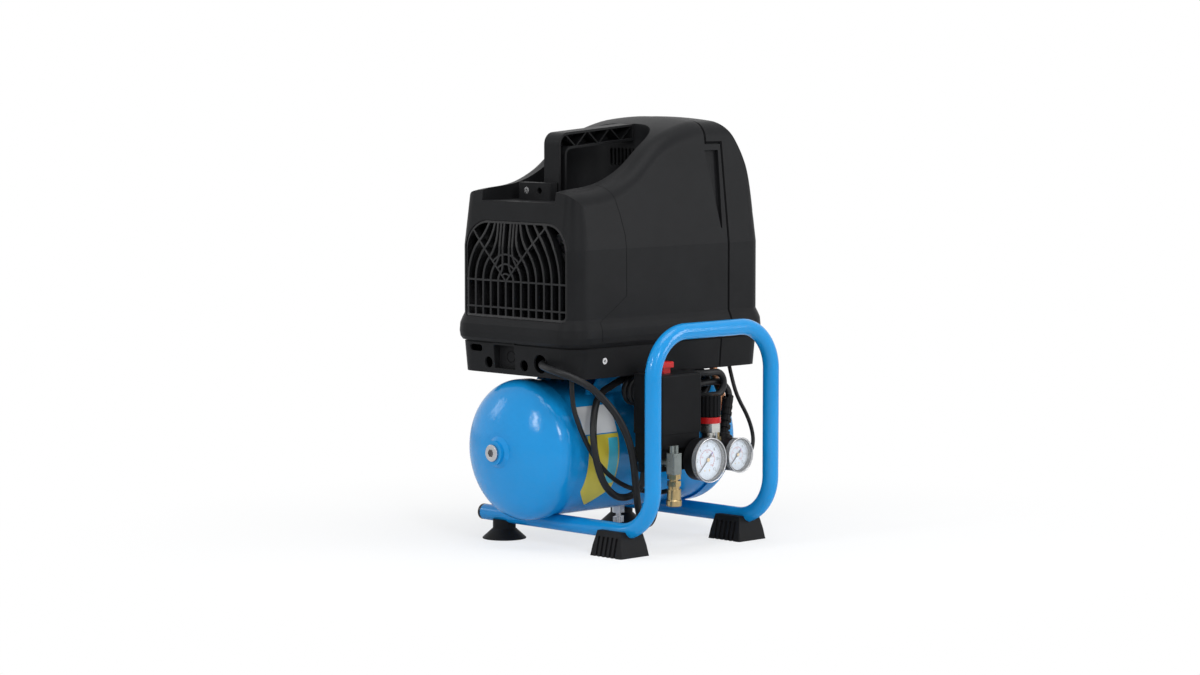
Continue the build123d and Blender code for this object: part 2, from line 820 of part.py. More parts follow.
with BuildPart() as wedge_back:
    add(wedge(cowl_wall, cowl_wall / 2, wedge_depth + cowl_wall))
    with BuildSketch(Plane.XZ):
        Polygon(*main_side(-lip_depth - moulding_gap), align=None)
    extrude(amount=far, both=True, mode=Mode.INTERSECT)
well_liner = well_block(cowl_wall) & hull
with BuildPart() as main_cowl:
    add(hull)
    add(hull_inside, mode=Mode.SUBTRACT)
    add(wedge_back.part)
    add(wedge(0, 0, wedge_depth), mode=Mode.SUBTRACT)
    add(well_liner)
    add(well_block(0), mode=Mode.SUBTRACT)
    with BuildSketch(Plane.XY.offset(well_floor_z)):
        with Locations((handle_left_x - handle_boss_depth / 2 - 1, handle_boss_y)):
            RectangleRounded(handle_boss_depth, handle_boss_width, 2)
    extrude(amount=handle_boss_height)
    with BuildSketch(Plane.YZ.offset(handle_left_x - handle_boss_depth - 1)):
        with Locations((handle_screw_y, handle_screw_z)):
            Circle(screw_r + seat_gap)
        with Locations((2 * handle_boss_y - handle_screw_y + 3.5, handle_screw_z)):
            Circle(screw_r)
    extrude(amount=screw_length, mode=Mode.SUBTRACT)
    with BuildSketch(Plane.YZ.offset(well_end_x - 1)):
        with Locations((house_y + 8, vent_z)):
            with GridLocations(vent_pitch, 1, vent_slots, 1):
                SlotOverall(vent_slot_height, vent_slot_width, rotation=90)
    extrude(amount=cowl_wall + 2, mode=Mode.SUBTRACT)
    add(window_block(0), mode=Mode.SUBTRACT)
    with BuildSketch(Plane.XZ):
        Polygon(*main_side(0), align=None)
    extrude(amount=far, both=True, mode=Mode.INTERSECT)
main_cowl.part.label = "main_cowl"
export_step(main_cowl.part, "parts/main_cowl.step")

# Grille: ribs that rise from the sill, bow round the fan's hub and run on to the top edge
with BuildPart() as fan_grille:
    with BuildSketch(Plane.YZ.offset(house_left_x - house_corner_r)):
        with BuildLine():
            Line((motor_y, window_bottom_z), (motor_y, motor_z))
            for k in range(1, rib_count_front + 1):
                d = k * rib_pitch
                for side in (-1, 1)[: 2 if k <= rib_count_back else 1]:
                    low = Line((motor_y + side * d, window_bottom_z), (motor_y + side * d, motor_z))
                    bow = ThreePointArc(
                        low @ 1,
                        (motor_y + side * d * cos(radians(22.5)), motor_z + d * sin(radians(22.5))),
                        (motor_y + side * d * cos(radians(45)), motor_z + d * sin(radians(45))))
                    flick = ThreePointArc(
                        bow @ 1,
                        (motor_y + side * d * (sqrt(2) - cos(radians(22.5))),
                         motor_z + d * (sqrt(2) - sin(radians(22.5)))),
                        (motor_y + side * d * (sqrt(2) - 1), motor_z + d * sqrt(2)))
                    if motor_z + d * sqrt(2) < window_top_z:
                        Line(flick @ 1, (motor_y + side * d * (sqrt(2) - 1), window_top_z))
        trace(line_width=rib_width)
        with BuildLine():
            for level in (motor_z, motor_z - lower_bar_drop):
                Line((window_front_y, level), (window_back_y, level))
            for side in (-1, 1):
                Line((motor_y, motor_z), (motor_y + side * fan_r, motor_z + fan_r))
            for r in hub_rings:
                CenterArc((motor_y, motor_z), r, 45, 90)
        trace(line_width=bar_width)
    extrude(amount=2 * house_corner_r)
    add(window_block(-moulding_gap) - window_block(-moulding_gap - grille_frame))
    add(window_block(-moulding_gap), mode=Mode.INTERSECT)
    face = housing_hull(grille_recess)
    add(face - face.moved(Location((grille_thick, 0, 0))), mode=Mode.INTERSECT)
fan_grille.part.label = "fan_grille"
export_step(fan_grille.part, "parts/fan_grille.step")

# End cowl: the shell right of the seam, with a lip that closes the seam from inside
lip_inset = cowl_wall + moulding_gap
with BuildPart() as end_lip:
    add(housing_hull(lip_inset) - housing_hull(lip_inset + cowl_wall / 2))
    with BuildSketch(Plane.XZ):
        Polygon(*main_side(seam_gap + lip_depth), align=None)
        Polygon(*main_side(-lip_depth), align=None, mode=Mode.SUBTRACT)
    extrude(amount=far, both=True, mode=Mode.INTERSECT)
with BuildPart() as end_cowl:
    add(hull)
    add(housing_hull(lip_inset), mode=Mode.SUBTRACT)
    with BuildSketch(Plane.XZ):
        Polygon(*main_side(seam_gap), align=None)
    extrude(amount=far, both=True, mode=Mode.SUBTRACT)
    add(end_lip.part)
end_cowl.part.label = "end_cowl"
export_step(end_cowl.part, "parts/end_cowl.step")

# Handle: a channel open to the front, with a zigzag of webs in it
handle_slope = (handle_right_z - handle_left_z) / (well_end_x - handle_left_x)
bar_left_z = handle_left_z - handle_bar


def handle_outline(outline, skin):
    """The handle seen from the front, its skin taken off, drawn in the outline that is open."""
    inner_corner = (handle_left_x + handle_post - skin, bar_left_z + skin + handle_slope * handle_post)
    outer_corner = (handle_left_x + skin, handle_left_z - skin)
    Polygon(
        (handle_left_x + skin, well_floor_z + skin), outer_corner,
        (well_end_x - skin, handle_right_z - skin), (well_end_x - skin, handle_right_z - handle_bar + skin),
        inner_corner, (handle_left_x + handle_post - skin, well_floor_z + skin), align=None)
    fillet(outline.vertices().sort_by_distance(outer_corner)[0], handle_outer_r - skin)
    fillet(outline.vertices().sort_by_distance(inner_corner)[0], handle_inner_r + skin)


handle_front = Plane.XZ.offset(handle_width / 2 - handle_y)
with BuildPart() as carry_handle:
    with BuildSketch(handle_front) as outline:
        handle_outline(outline, 0)
    extrude(amount=-handle_width)
    with BuildSketch(handle_front) as outline:
        handle_outline(outline, handle_skin)
    extrude(amount=-handle_pocket, mode=Mode.SUBTRACT)
    truss_left = handle_left_x + handle_post
    truss_step = (well_end_x - truss_left) / truss_count
    with BuildSketch(handle_front.offset(-truss_inset)):
        with BuildLine():
            for k in range(truss_count):
                x0 = truss_left + k * truss_step
                x1 = x0 + truss_step
                low, high = handle_skin / 2, handle_bar - handle_skin / 2
                heights = (low, high) if k % 2 else (high, low)
                Line(
                    (x0, bar_left_z + handle_slope * (x0 - handle_left_x) + heights[0]),
                    (x1, bar_left_z + handle_slope * (x1 - handle_left_x) + heights[1]))
        trace(line_width=truss_web)
    extrude(amount=-(handle_width - truss_inset - handle_skin))
    with BuildSketch(Plane.XZ.offset(-handle_y)):
        Polygon(
            (handle_left_x, well_floor_z), (handle_left_x, house_top_z), (well_end_x, house_top_z),
            (well_end_x, well_floor_z), align=None)
    extrude(amount=handle_width, both=True, mode=Mode.INTERSECT)
carry_handle.part.label = "carry_handle"
export_step(carry_handle.part, "parts/carry_handle.step")

# Screws: two in the tray's skirt and one in the handle's boss
with BuildPart() as housing_screws:
    skirt_y = house_front_y + (tray_top_z - screw_z) * tan(radians(tray_draft))
    with BuildSketch(Plane.XZ.offset(-skirt_y)):
        with Locations((screw_x, screw_z)):
            Circle(screw_r)
            Rectangle(0.9 * screw_r, 1, mode=Mode.SUBTRACT)
            Rectangle(1, 0.9 * screw_r, mode=Mode.SUBTRACT)
    extrude(amount=-screw_length)
    mirror(about=Plane.XZ.offset(-house_y))
    with BuildSketch(Plane.YZ.offset(handle_left_x - handle_boss_depth - 1)):
        with Locations((handle_screw_y, handle_screw_z)):
            Circle(screw_r)
            Rectangle(0.9 * screw_r, 1, mode=Mode.SUBTRACT)
            Rectangle(1, 0.9 * screw_r, mode=Mode.SUBTRACT)
    extrude(amount=screw_length)
housing_screws.part.label = "housing_screws"
export_step(housing_screws.part, "parts/housing_screws.step")

# Motor: rubber mounts, two feet, stator between rear shield and crankcase
mount_xs = (stator_left_x - shield_thick / 2, stator_right_x + case_length / 2)
with BuildPart() as motor_mounts:
    with BuildSketch(Plane.XY.offset(tray_floor_z)):
        for x in mount_xs:
            with Locations((x, motor_y - leg_half_y), (x, motor_y + leg_half_y)):
                Circle(mount_r)
    extrude(amount=mount_height)
motor_mounts.part.label = "motor_mounts"
export_step(motor_mounts.part, "parts/motor_mounts.step")

with BuildPart() as motor_stator:
    with BuildSketch(Plane.YZ.offset(stator_left_x)):
        with Locations((motor_y, motor_z)):
            Circle(stator_r)
            Circle(rotor_r + air_gap, mode=Mode.SUBTRACT)
    extrude(amount=stator_right_x - stator_left_x)
motor_stator.part.label = "motor_stator"
export_step(motor_stator.part, "parts/motor_stator.step")

with BuildPart() as rear_end_shield:
    with BuildSketch(Plane.YZ.offset(stator_left_x - shield_thick)):
        with Locations((motor_y, motor_z)):
            Circle(stator_r)
        for side in (-1, 1):
            with Locations((motor_y + side * leg_half_y, (leg_bottom_z + motor_z) / 2)):
                Rectangle(leg_width, motor_z - leg_bottom_z)
        with Locations((motor_y, motor_z)):
            Circle(bearing_r + seat_gap, mode=Mode.SUBTRACT)
            with PolarLocations((stator_r + bearing_r) / 2, shield_windows):
                Circle((stator_r - bearing_r) / 5, mode=Mode.SUBTRACT)
    extrude(amount=shield_thick)
rear_end_shield.part.label = "rear_end_shield"
export_step(rear_end_shield.part, "parts/rear_end_shield.step")

with BuildPart() as motor_rotor:
    with BuildSketch(Plane.YZ.offset(stator_left_x + 4)):
        with Locations((motor_y, motor_z)):
            Circle(rotor_r)
            Circle(shaft_r + seat_gap, mode=Mode.SUBTRACT)
    extrude(amount=stator_right_x - stator_left_x - 8)
motor_rotor.part.label = "motor_rotor"
export_step(motor_rotor.part, "parts/motor_rotor.step")

with BuildPart() as motor_shaft:
    with BuildSketch(Plane.YZ.offset(shaft_left_x)):
        with Locations((motor_y, motor_z)):
            Circle(shaft_r)
    extrude(amount=shaft_right_x - shaft_left_x)
motor_shaft.part.label = "motor_shaft"
export_step(motor_shaft.part, "parts/motor_shaft.step")

with BuildPart() as shaft_bearings:
    for x in (stator_left_x - (shield_thick + bearing_width) / 2, stator_right_x):
        with BuildSketch(Plane.YZ.offset(x)):
            with Locations((motor_y, motor_z)):
                Circle(bearing_r)
                Circle(shaft_r + run_gap, mode=Mode.SUBTRACT)
        extrude(amount=bearing_width)
shaft_bearings.part.label = "shaft_bearings"
export_step(shaft_bearings.part, "parts/shaft_bearings.step")

with BuildPart() as cooling_fan:
    with BuildSketch(Plane.YZ.offset(fan_left_x)):
        with Locations((motor_y, motor_z)):
            Circle(fan_hub_r)
    extrude(amount=fan_width)
    for k in range(fan_blades):
        turn = radians(360 * k / fan_blades)
        out = Vector(0, cos(turn), sin(turn))
        across = Vector(0, -sin(turn), cos(turn))
        root = Vector(fan_left_x + fan_width / 2, motor_y, motor_z) + out * (0.8 * fan_hub_r)
        chord = across * sin(radians(90 - fan_pitch)) + Vector(1, 0, 0) * cos(radians(90 - fan_pitch))
        with BuildSketch(Plane(origin=root, x_dir=chord, z_dir=out)):
            Rectangle(0.9 * fan_width / sin(radians(fan_pitch)), fan_blade_thick)
        extrude(amount=fan_r - 0.8 * fan_hub_r)
    with BuildSketch(Plane.YZ.offset(fan_left_x)):
        with Locations((motor_y, motor_z)):
            Circle(fan_r)
            Circle(shaft_r + seat_gap, mode=Mode.SUBTRACT)
    extrude(amount=fan_width, mode=Mode.INTERSECT)
cooling_fan.part.label = "cooling_fan"
export_step(cooling_fan.part, "parts/cooling_fan.step")

# Pump: crankcase, crank, piston on its rod, finned sleeve, valve plate and head
with BuildPart() as crankcase:
    with BuildSketch(Plane.YZ.offset(stator_right_x)):
        with Locations((motor_y, motor_z)):
            RectangleRounded(2 * case_half_y, 2 * case_half_z, 10)
    extrude(amount=case_length)
    with BuildSketch(Plane.YZ.offset(stator_right_x + case_wall)):
        with Locations((motor_y, motor_z)):
            RectangleRounded(2 * (case_half_y - case_wall), 2 * (case_half_z - case_wall), 6)
    extrude(amount=case_length - 2 * case_wall, mode=Mode.SUBTRACT)
    with BuildSketch(Plane.YZ.offset(stator_right_x)):
        with Locations((motor_y, motor_z)):
            Circle(bearing_r + 2 * seat_gap + 3)
    extrude(amount=bearing_width)
    with BuildSketch(Plane.YZ.offset(stator_right_x)):
        with Locations((motor_y, motor_z)):
            Circle(bearing_r + seat_gap)
    extrude(amount=bearing_width, mode=Mode.SUBTRACT)
    with BuildSketch(Plane.XY.offset(motor_z)):
        with Locations((pump_x, motor_y)):
            Circle(bore_r)
    extrude(amount=case_half_z, mode=Mode.SUBTRACT)
    for side in (-1, 1):
        with BuildSketch(Plane.XY.offset(leg_bottom_z)):
            with Locations((mount_xs[1], motor_y + side * (case_half_y - leg_width / 2))):
                Rectangle(leg_width, leg_width)
        extrude(amount=motor_z - case_half_z - leg_bottom_z)
crankcase.part.label = "crankcase"
export_step(crankcase.part, "parts/crankcase.step")

with BuildPart() as crank_eccentric:
    with BuildSketch(Plane.YZ.offset(pump_x - journal_width / 2 - balance_width)):
        with Locations((motor_y, motor_z)):
            Circle(balance_r)
        with Locations((motor_y, motor_z + balance_r)):
            Rectangle(2 * balance_r, 2 * (balance_r - journal_r - crank_throw + 4), mode=Mode.SUBTRACT)
        with Locations((motor_y + crank_throw, motor_z)):
            Circle(journal_r)
    extrude(amount=balance_width)
    with BuildSketch(Plane.YZ.offset(pump_x - journal_width / 2)):
        with Locations((motor_y + crank_throw, motor_z)):
            Circle(journal_r)
        with Locations((motor_y, motor_z)):
            Circle(shaft_r + 2)
    extrude(amount=journal_width)
    with BuildSketch(Plane.YZ.offset(pump_x)):
        with Locations((motor_y, motor_z)):
            Circle(shaft_r + seat_gap)
    extrude(amount=case_length, both=True, mode=Mode.SUBTRACT)
crank_eccentric.part.label = "crank_eccentric"
export_step(crank_eccentric.part, "parts/crank_eccentric.step")

eye_r = journal_r + crank_throw + slide_gap
with BuildPart() as connecting_rod:
    with BuildSketch(Plane.YZ.offset(pump_x - rod_width / 2)):
        with Locations((motor_y, motor_z)):
            Circle(eye_r + rod_eye_wall)
        with Locations((motor_y, (motor_z + mid_stroke_z) / 2)):
            Rectangle(rod_shank, mid_stroke_z - motor_z)
        with Locations((motor_y, motor_z)):
            Circle(eye_r, mode=Mode.SUBTRACT)
    extrude(amount=rod_width)
    with BuildSketch(Plane.XY.offset(mid_stroke_z)):
        with Locations((pump_x, motor_y)):
            Circle(bore_r - run_gap)
    extrude(amount=piston_height)
connecting_rod.part.label = "connecting_rod"
export_step(connecting_rod.part, "parts/connecting_rod.step")

with BuildPart() as cylinder_sleeve:
    with BuildSketch(Plane.XY.offset(case_top_z)):
        with Locations((pump_x, motor_y)):
            Circle(bore_r + sleeve_wall)
    extrude(amount=sleeve_height)
    for k in range(fin_count):
        with BuildSketch(Plane.XY.offset(case_top_z + (k + 1) * sleeve_height / (fin_count + 1))):
            with Locations((pump_x, motor_y)):
                Circle(fin_r)
        extrude(amount=fin_thick)
    with BuildSketch(Plane.XY.offset(case_top_z)):
        with Locations((pump_x, motor_y)):
            Circle(bore_r)
    extrude(amount=sleeve_height, mode=Mode.SUBTRACT)
cylinder_sleeve.part.label = "cylinder_sleeve"
export_step(cylinder_sleeve.part, "parts/cylinder_sleeve.step")

with BuildPart() as valve_plate:
    with BuildSketch(Plane.XY.offset(sleeve_top)):
        with Locations((pump_x, motor_y)):
            RectangleRounded(plate_size, plate_size, 6)
            with GridLocations(head_bolt_spread, head_bolt_spread, 2, 2):
                Circle(head_bolt_r + seat_gap, mode=Mode.SUBTRACT)
            with GridLocations(bore_r, 1, 2, 1):
                Circle(bore_r / 6, mode=Mode.SUBTRACT)
    extrude(amount=plate_thick)
valve_plate.part.label = "valve_plate"
export_step(valve_plate.part, "parts/valve_plate.step")

with BuildPart() as cylinder_head:
    with BuildSketch(Plane.XY.offset(plate_top_z)):
        with Locations((pump_x, motor_y)):
            RectangleRounded(plate_size, plate_size, 6)
            with GridLocations(head_bolt_spread, head_bolt_spread, 2, 2):
                Circle(head_bolt_r + seat_gap, mode=Mode.SUBTRACT)
    extrude(amount=head_height)
    with BuildSketch(Plane.XY.offset(pump_top_z)):
        with Locations((pump_x, motor_y)):
            with GridLocations(1, (head_bolt_spread - 4 * head_bolt_cap_r) / (head_fins - 1), 1, head_fins):
                Rectangle(plate_size, head_fin_gap)
    extrude(amount=-head_fin_depth, mode=Mode.SUBTRACT)
cylinder_head.part.label = "cylinder_head"
export_step(cylinder_head.part, "parts/cylinder_head.step")

with BuildPart() as head_bolts:
    with BuildSketch(Plane.XY.offset(sleeve_top)):
        with Locations((pump_x, motor_y)):
            with GridLocations(head_bolt_spread, head_bolt_spread, 2, 2):
                Circle(head_bolt_r)
    extrude(amount=plate_thick + head_height)
    with BuildSketch(Plane.XY.offset(pump_top_z)):
        with Locations((pump_x, motor_y)):
            with GridLocations(head_bolt_spread, head_bolt_spread, 2, 2):
                RegularPolygon(head_bolt_cap_r, 6)
    extrude(amount=head_bolt_cap)
head_bolts.part.label = "head_bolts"
export_step(head_bolts.part, "parts/head_bolts.step")

# Delivery pipe: copper, from the head down through the tray's floor to the check valve
pipe_start_y = motor_y - plate_size / 2
pipe_z = plate_top_z + (head_height - head_fin_depth) / 2
with BuildPart() as delivery_pipe:
    with BuildLine() as pipe_run:
        FilletPolyline(
            (pump_x, pipe_start_y, pipe_z), (pump_x, pipe_drop_y, pipe_z), (valve_x, pipe_drop_y, pipe_z),
            (valve_x, pipe_drop_y, tray_bottom_z - pipe_bend_r),
            (valve_x, valve_y, valve_top_z + 2 * pipe_bend_r),
            (valve_x, valve_y, valve_top_z), radius=pipe_bend_r)
    with BuildSketch(Plane(pipe_run.line @ 0, z_dir=pipe_run.line % 0)):
        Circle(pipe_r)
        Circle(pipe_r - pipe_wall, mode=Mode.SUBTRACT)
    sweep(path=pipe_run.line)
delivery_pipe.part.label = "delivery_pipe"
export_step(delivery_pipe.part, "parts/delivery_pipe.step")

with BuildPart() as check_valve:
    with BuildSketch(upright(valve_x, valve_y)):
        Polygon(
            (0, valve_z - valve_r - 6), (valve_r - 2, valve_z - valve_r - 6),
            (valve_r, valve_z - valve_r - 4),
            (valve_r, valve_top_z - 4), (pipe_r + 2, valve_top_z), (0, valve_top_z), align=None)
    revolve(axis=Axis((valve_x, valve_y, 0), (0, 0, 1)))
    with BuildSketch(Plane.XY.offset(valve_top_z - 14)):
        with Locations((valve_x, valve_y)):
            RegularPolygon(valve_hex / 2, 6, major_radius=False)
    extrude(amount=8)
    with BuildSketch(Plane.XZ.offset(-valve_y)):
        with Locations((valve_x, valve_z)):
            Circle(0.8 * valve_r)
    extrude(amount=valve_y - tank_y)
    add(tank_seat, mode=Mode.SUBTRACT)
check_valve.part.label = "check_valve"
export_step(check_valve.part, "parts/check_valve.step")

# Manifold block on its tank nipple, and the safety valve screwed into its top
with BuildPart() as manifold:
    with BuildSketch(Plane.XY.offset(manifold_bottom_z)):
        with Locations((
                (manifold_left_x + manifold_right_x) / 2, (manifold_front_y + manifold_back_y) / 2)):
            RectangleRounded(manifold_right_x - manifold_left_x, manifold_back_y - manifold_front_y, 3)
    extrude(amount=manifold_top_z - manifold_bottom_z)
    with BuildSketch(Plane.XZ.offset(-manifold_back_y)):
        with Locations((nipple_x, nipple_z)):
            Circle(nipple_r)
    extrude(amount=manifold_back_y - tank_y)
    add(tank_seat, mode=Mode.SUBTRACT)
manifold.part.label = "manifold"
export_step(manifold.part, "parts/manifold.step")

with BuildPart() as safety_valve:
    with BuildSketch(Plane.XY.offset(manifold_top_z)):
        with Locations((safety_x, safety_y)):
            RegularPolygon(safety_hex / 2, 6, major_radius=False)
    extrude(amount=safety_hex / 2)
    with BuildSketch(Plane.XY.offset(manifold_top_z)):
        with Locations((safety_x, safety_y)):
            Circle(safety_r)
    extrude(amount=4 * safety_r)
    with BuildSketch(upright(safety_x, safety_y, manifold_top_z + 5 * safety_r)):
        Circle(1.6 * safety_r)
        Circle(1.6 * safety_r - 2, mode=Mode.SUBTRACT)
    extrude(amount=1, both=True)
safety_valve.part.label = "safety_valve"
export_step(safety_valve.part, "parts/safety_valve.step")

# Pressure switch: base with two cable glands, cover and the on-off button
with BuildPart() as switch_base:
    base_left_x = switch_left_x + switch_wall / 2
    base_right_x = switch_right_x - switch_wall / 2
    base_front_y = switch_front_y + switch_wall / 2
    base_back_y = switch_back_y - switch_wall / 2
    with BuildSketch(Plane.XY.offset(manifold_top_z)):
        with Locations(((base_left_x + base_right_x) / 2, (base_front_y + base_back_y) / 2)):
            RectangleRounded(base_right_x - base_left_x, base_back_y - base_front_y, switch_edge_r)
    extrude(amount=switch_split_z - manifold_top_z)
    with BuildSketch(Plane.XY.offset(terminal_bottom_z)):
        with Locations(((base_left_x + terminal_right_x) / 2, (manifold_back_y + base_back_y) / 2)):
            Rectangle(terminal_right_x - base_left_x, base_back_y - manifold_back_y)
    extrude(amount=manifold_top_z - terminal_bottom_z)
    with BuildSketch(Plane.XY.offset(gland_bottom_z)):
        for x in gland_x:
            with Locations((x, gland_y)):
                RegularPolygon(gland_r, 6)
    extrude(amount=terminal_bottom_z - gland_bottom_z)
switch_base.part.label = "switch_base"
export_step(switch_base.part, "parts/switch_base.step")

with BuildPart() as switch_cover:
    with BuildSketch(Plane.XY.offset(switch_split_z)):
        with Locations(((switch_left_x + switch_right_x) / 2, (switch_front_y + switch_back_y) / 2)):
            RectangleRounded(switch_right_x - switch_left_x, switch_back_y - switch_front_y, switch_edge_r)
    extrude(amount=switch_top_z - switch_split_z)
    fillet(switch_cover.faces().sort_by(Axis.Z)[-1].edges(), switch_edge_r - 0.5)
    with BuildSketch(Plane.XY.offset(switch_split_z)):
        with Locations(((switch_left_x + switch_right_x) / 2, (switch_front_y + switch_back_y) / 2)):
            Rectangle(
                switch_right_x - switch_left_x - 2 * switch_wall,
                switch_back_y - switch_front_y - 2 * switch_wall)
    extrude(amount=switch_top_z - switch_split_z - switch_wall, mode=Mode.SUBTRACT)
    with BuildSketch(Plane.XY.offset(switch_top_z)):
        with Locations((button_x, button_y)):
            Rectangle(button_stem_length + 2 * slide_gap, button_stem_width + 2 * slide_gap)
    extrude(amount=-2 * switch_wall, mode=Mode.SUBTRACT)
switch_cover.part.label = "switch_cover"
export_step(switch_cover.part, "parts/switch_cover.step")

with BuildPart() as switch_button:
    with BuildSketch(Plane.XY.offset(switch_top_z - button_depth)):
        with Locations((button_x, button_y)):
            Rectangle(button_stem_length, button_stem_width)
    extrude(amount=button_depth + button_rise)
    with BuildSketch(Plane.XY.offset(switch_top_z + button_rise)):
        with Locations((button_x, button_y)):
            RectangleRounded(button_length, button_width, 2)
    extrude(amount=button_cap)
    fillet(switch_button.faces().sort_by(Axis.Z)[-1].edges(), 1.2)
switch_button.part.label = "switch_button"
export_step(switch_button.part, "parts/switch_button.step")

# Regulator: body with its stem, lock ring and fluted knob
with BuildPart() as regulator_body:
    with BuildSketch(Plane.XY.offset(manifold_top_z)):
        with Locations((regulator_x, regulator_y)):
            Circle(regulator_foot_r)
    extrude(amount=regulator_hex_z - manifold_top_z)
    with BuildSketch(Plane.XY.offset(regulator_hex_z)):
        with Locations((regulator_x, regulator_y)):
            RegularPolygon(regulator_hex / 2, 6, major_radius=False)
    extrude(amount=regulator_ring_z - regulator_hex_z)
    with BuildSketch(Plane.XY.offset(regulator_ring_z)):
        with Locations((regulator_x, regulator_y)):
            Circle(stem_r)
    extrude(amount=stem_top_z - regulator_ring_z)
regulator_body.part.label = "regulator_body"
export_step(regulator_body.part, "parts/regulator_body.step")

with BuildPart() as regulator_ring:
    with BuildSketch(Plane.XY.offset(regulator_ring_z)):
        with Locations((regulator_x, regulator_y)):
            Circle(regulator_ring_r)
            Circle(stem_r + seat_gap, mode=Mode.SUBTRACT)
    extrude(amount=knob_z - slide_gap - regulator_ring_z)
regulator_ring.part.label = "regulator_ring"
export_step(regulator_ring.part, "parts/regulator_ring.step")

with BuildPart() as regulator_knob:
    with BuildSketch(Plane.XY.offset(knob_z)):
        with Locations((regulator_x, regulator_y)):
            Circle(knob_r)
            with PolarLocations(knob_r, knob_flutes):
                Circle(knob_flute_r, mode=Mode.SUBTRACT)
    extrude(amount=knob_top_z - knob_z)
    with BuildSketch(Plane.XY.offset(knob_z)):
        with Locations((regulator_x, regulator_y)):
            Circle(stem_r + run_gap)
    extrude(amount=stem_top_z + slide_gap - knob_z, mode=Mode.SUBTRACT)
regulator_knob.part.label = "regulator_knob"
export_step(regulator_knob.part, "parts/regulator_knob.step")

# Outlet block in front of the manifold, with the quick coupler hanging below it
with BuildPart() as outlet_block:
    with BuildSketch(Plane.XY.offset(outlet_bottom_z)):
        with Locations((outlet_x, outlet_y)):
            RectangleRounded(outlet_size, outlet_size, 1.5)
    extrude(amount=outlet_top_z - outlet_bottom_z)
    with BuildSketch(Plane.XY.offset(outlet_top_z)):
        with Locations((outlet_x, outlet_y)):
            with GridLocations(outlet_size / 2, 1, 2, 1):
                Circle(outlet_plug_r)
    extrude(amount=outlet_plug_height)
    with BuildSketch(Plane.XZ.offset(-manifold_front_y)):
        with Locations((outlet_x, (outlet_bottom_z + outlet_top_z) / 2)):
            Circle(outlet_link_r)
    extrude(amount=manifold_front_y - outlet_y)
outlet_block.part.label = "outlet_block"
export_step(outlet_block.part, "parts/outlet_block.step")

with BuildPart() as coupler_body:
    for low, high in ((coupler_nut_z, outlet_bottom_z), (coupler_hex_bottom_z, coupler_hex_top_z)):
        with BuildSketch(Plane.XY.offset(low)):
            with Locations((outlet_x, outlet_y)):
                RegularPolygon(coupler_hex / 2, 6, major_radius=False)
        extrude(amount=high - low)
    with BuildSketch(Plane.XY.offset(coupler_hex_top_z)):
        with Locations((outlet_x, outlet_y)):
            Circle(coupler_neck_r)
    extrude(amount=coupler_nut_z - coupler_hex_top_z)
    with BuildSketch(Plane.XY.offset(coupler_bottom_z)):
        with Locations((outlet_x, outlet_y)):
            Circle(spigot_r)
    extrude(amount=coupler_hex_bottom_z - coupler_bottom_z)
    with BuildSketch(Plane.XY.offset(coupler_bottom_z)):
        with Locations((outlet_x, outlet_y)):
            Circle(coupler_bore_r)
    extrude(amount=coupler_bore_depth, mode=Mode.SUBTRACT)
coupler_body.part.label = "coupler_body"
export_step(coupler_body.part, "parts/coupler_body.step")

with BuildPart() as coupler_sleeve:
    with BuildSketch(upright(outlet_x, outlet_y)):
        inner_r = spigot_r + run_gap
        Polygon(
            (inner_r, coupler_bottom_z), (collar_r - 0.8, coupler_bottom_z),
            (collar_r, coupler_bottom_z + 0.8),
            (collar_r, coupler_bottom_z + collar_height), (sleeve_r, coupler_bottom_z + collar_height + 1),
            (sleeve_r, sleeve_top_z), (inner_r, sleeve_top_z), align=None)
    revolve(axis=Axis((outlet_x, outlet_y, 0), (0, 0, 1)))
coupler_sleeve.part.label = "coupler_sleeve"
export_step(coupler_sleeve.part, "parts/coupler_sleeve.step")

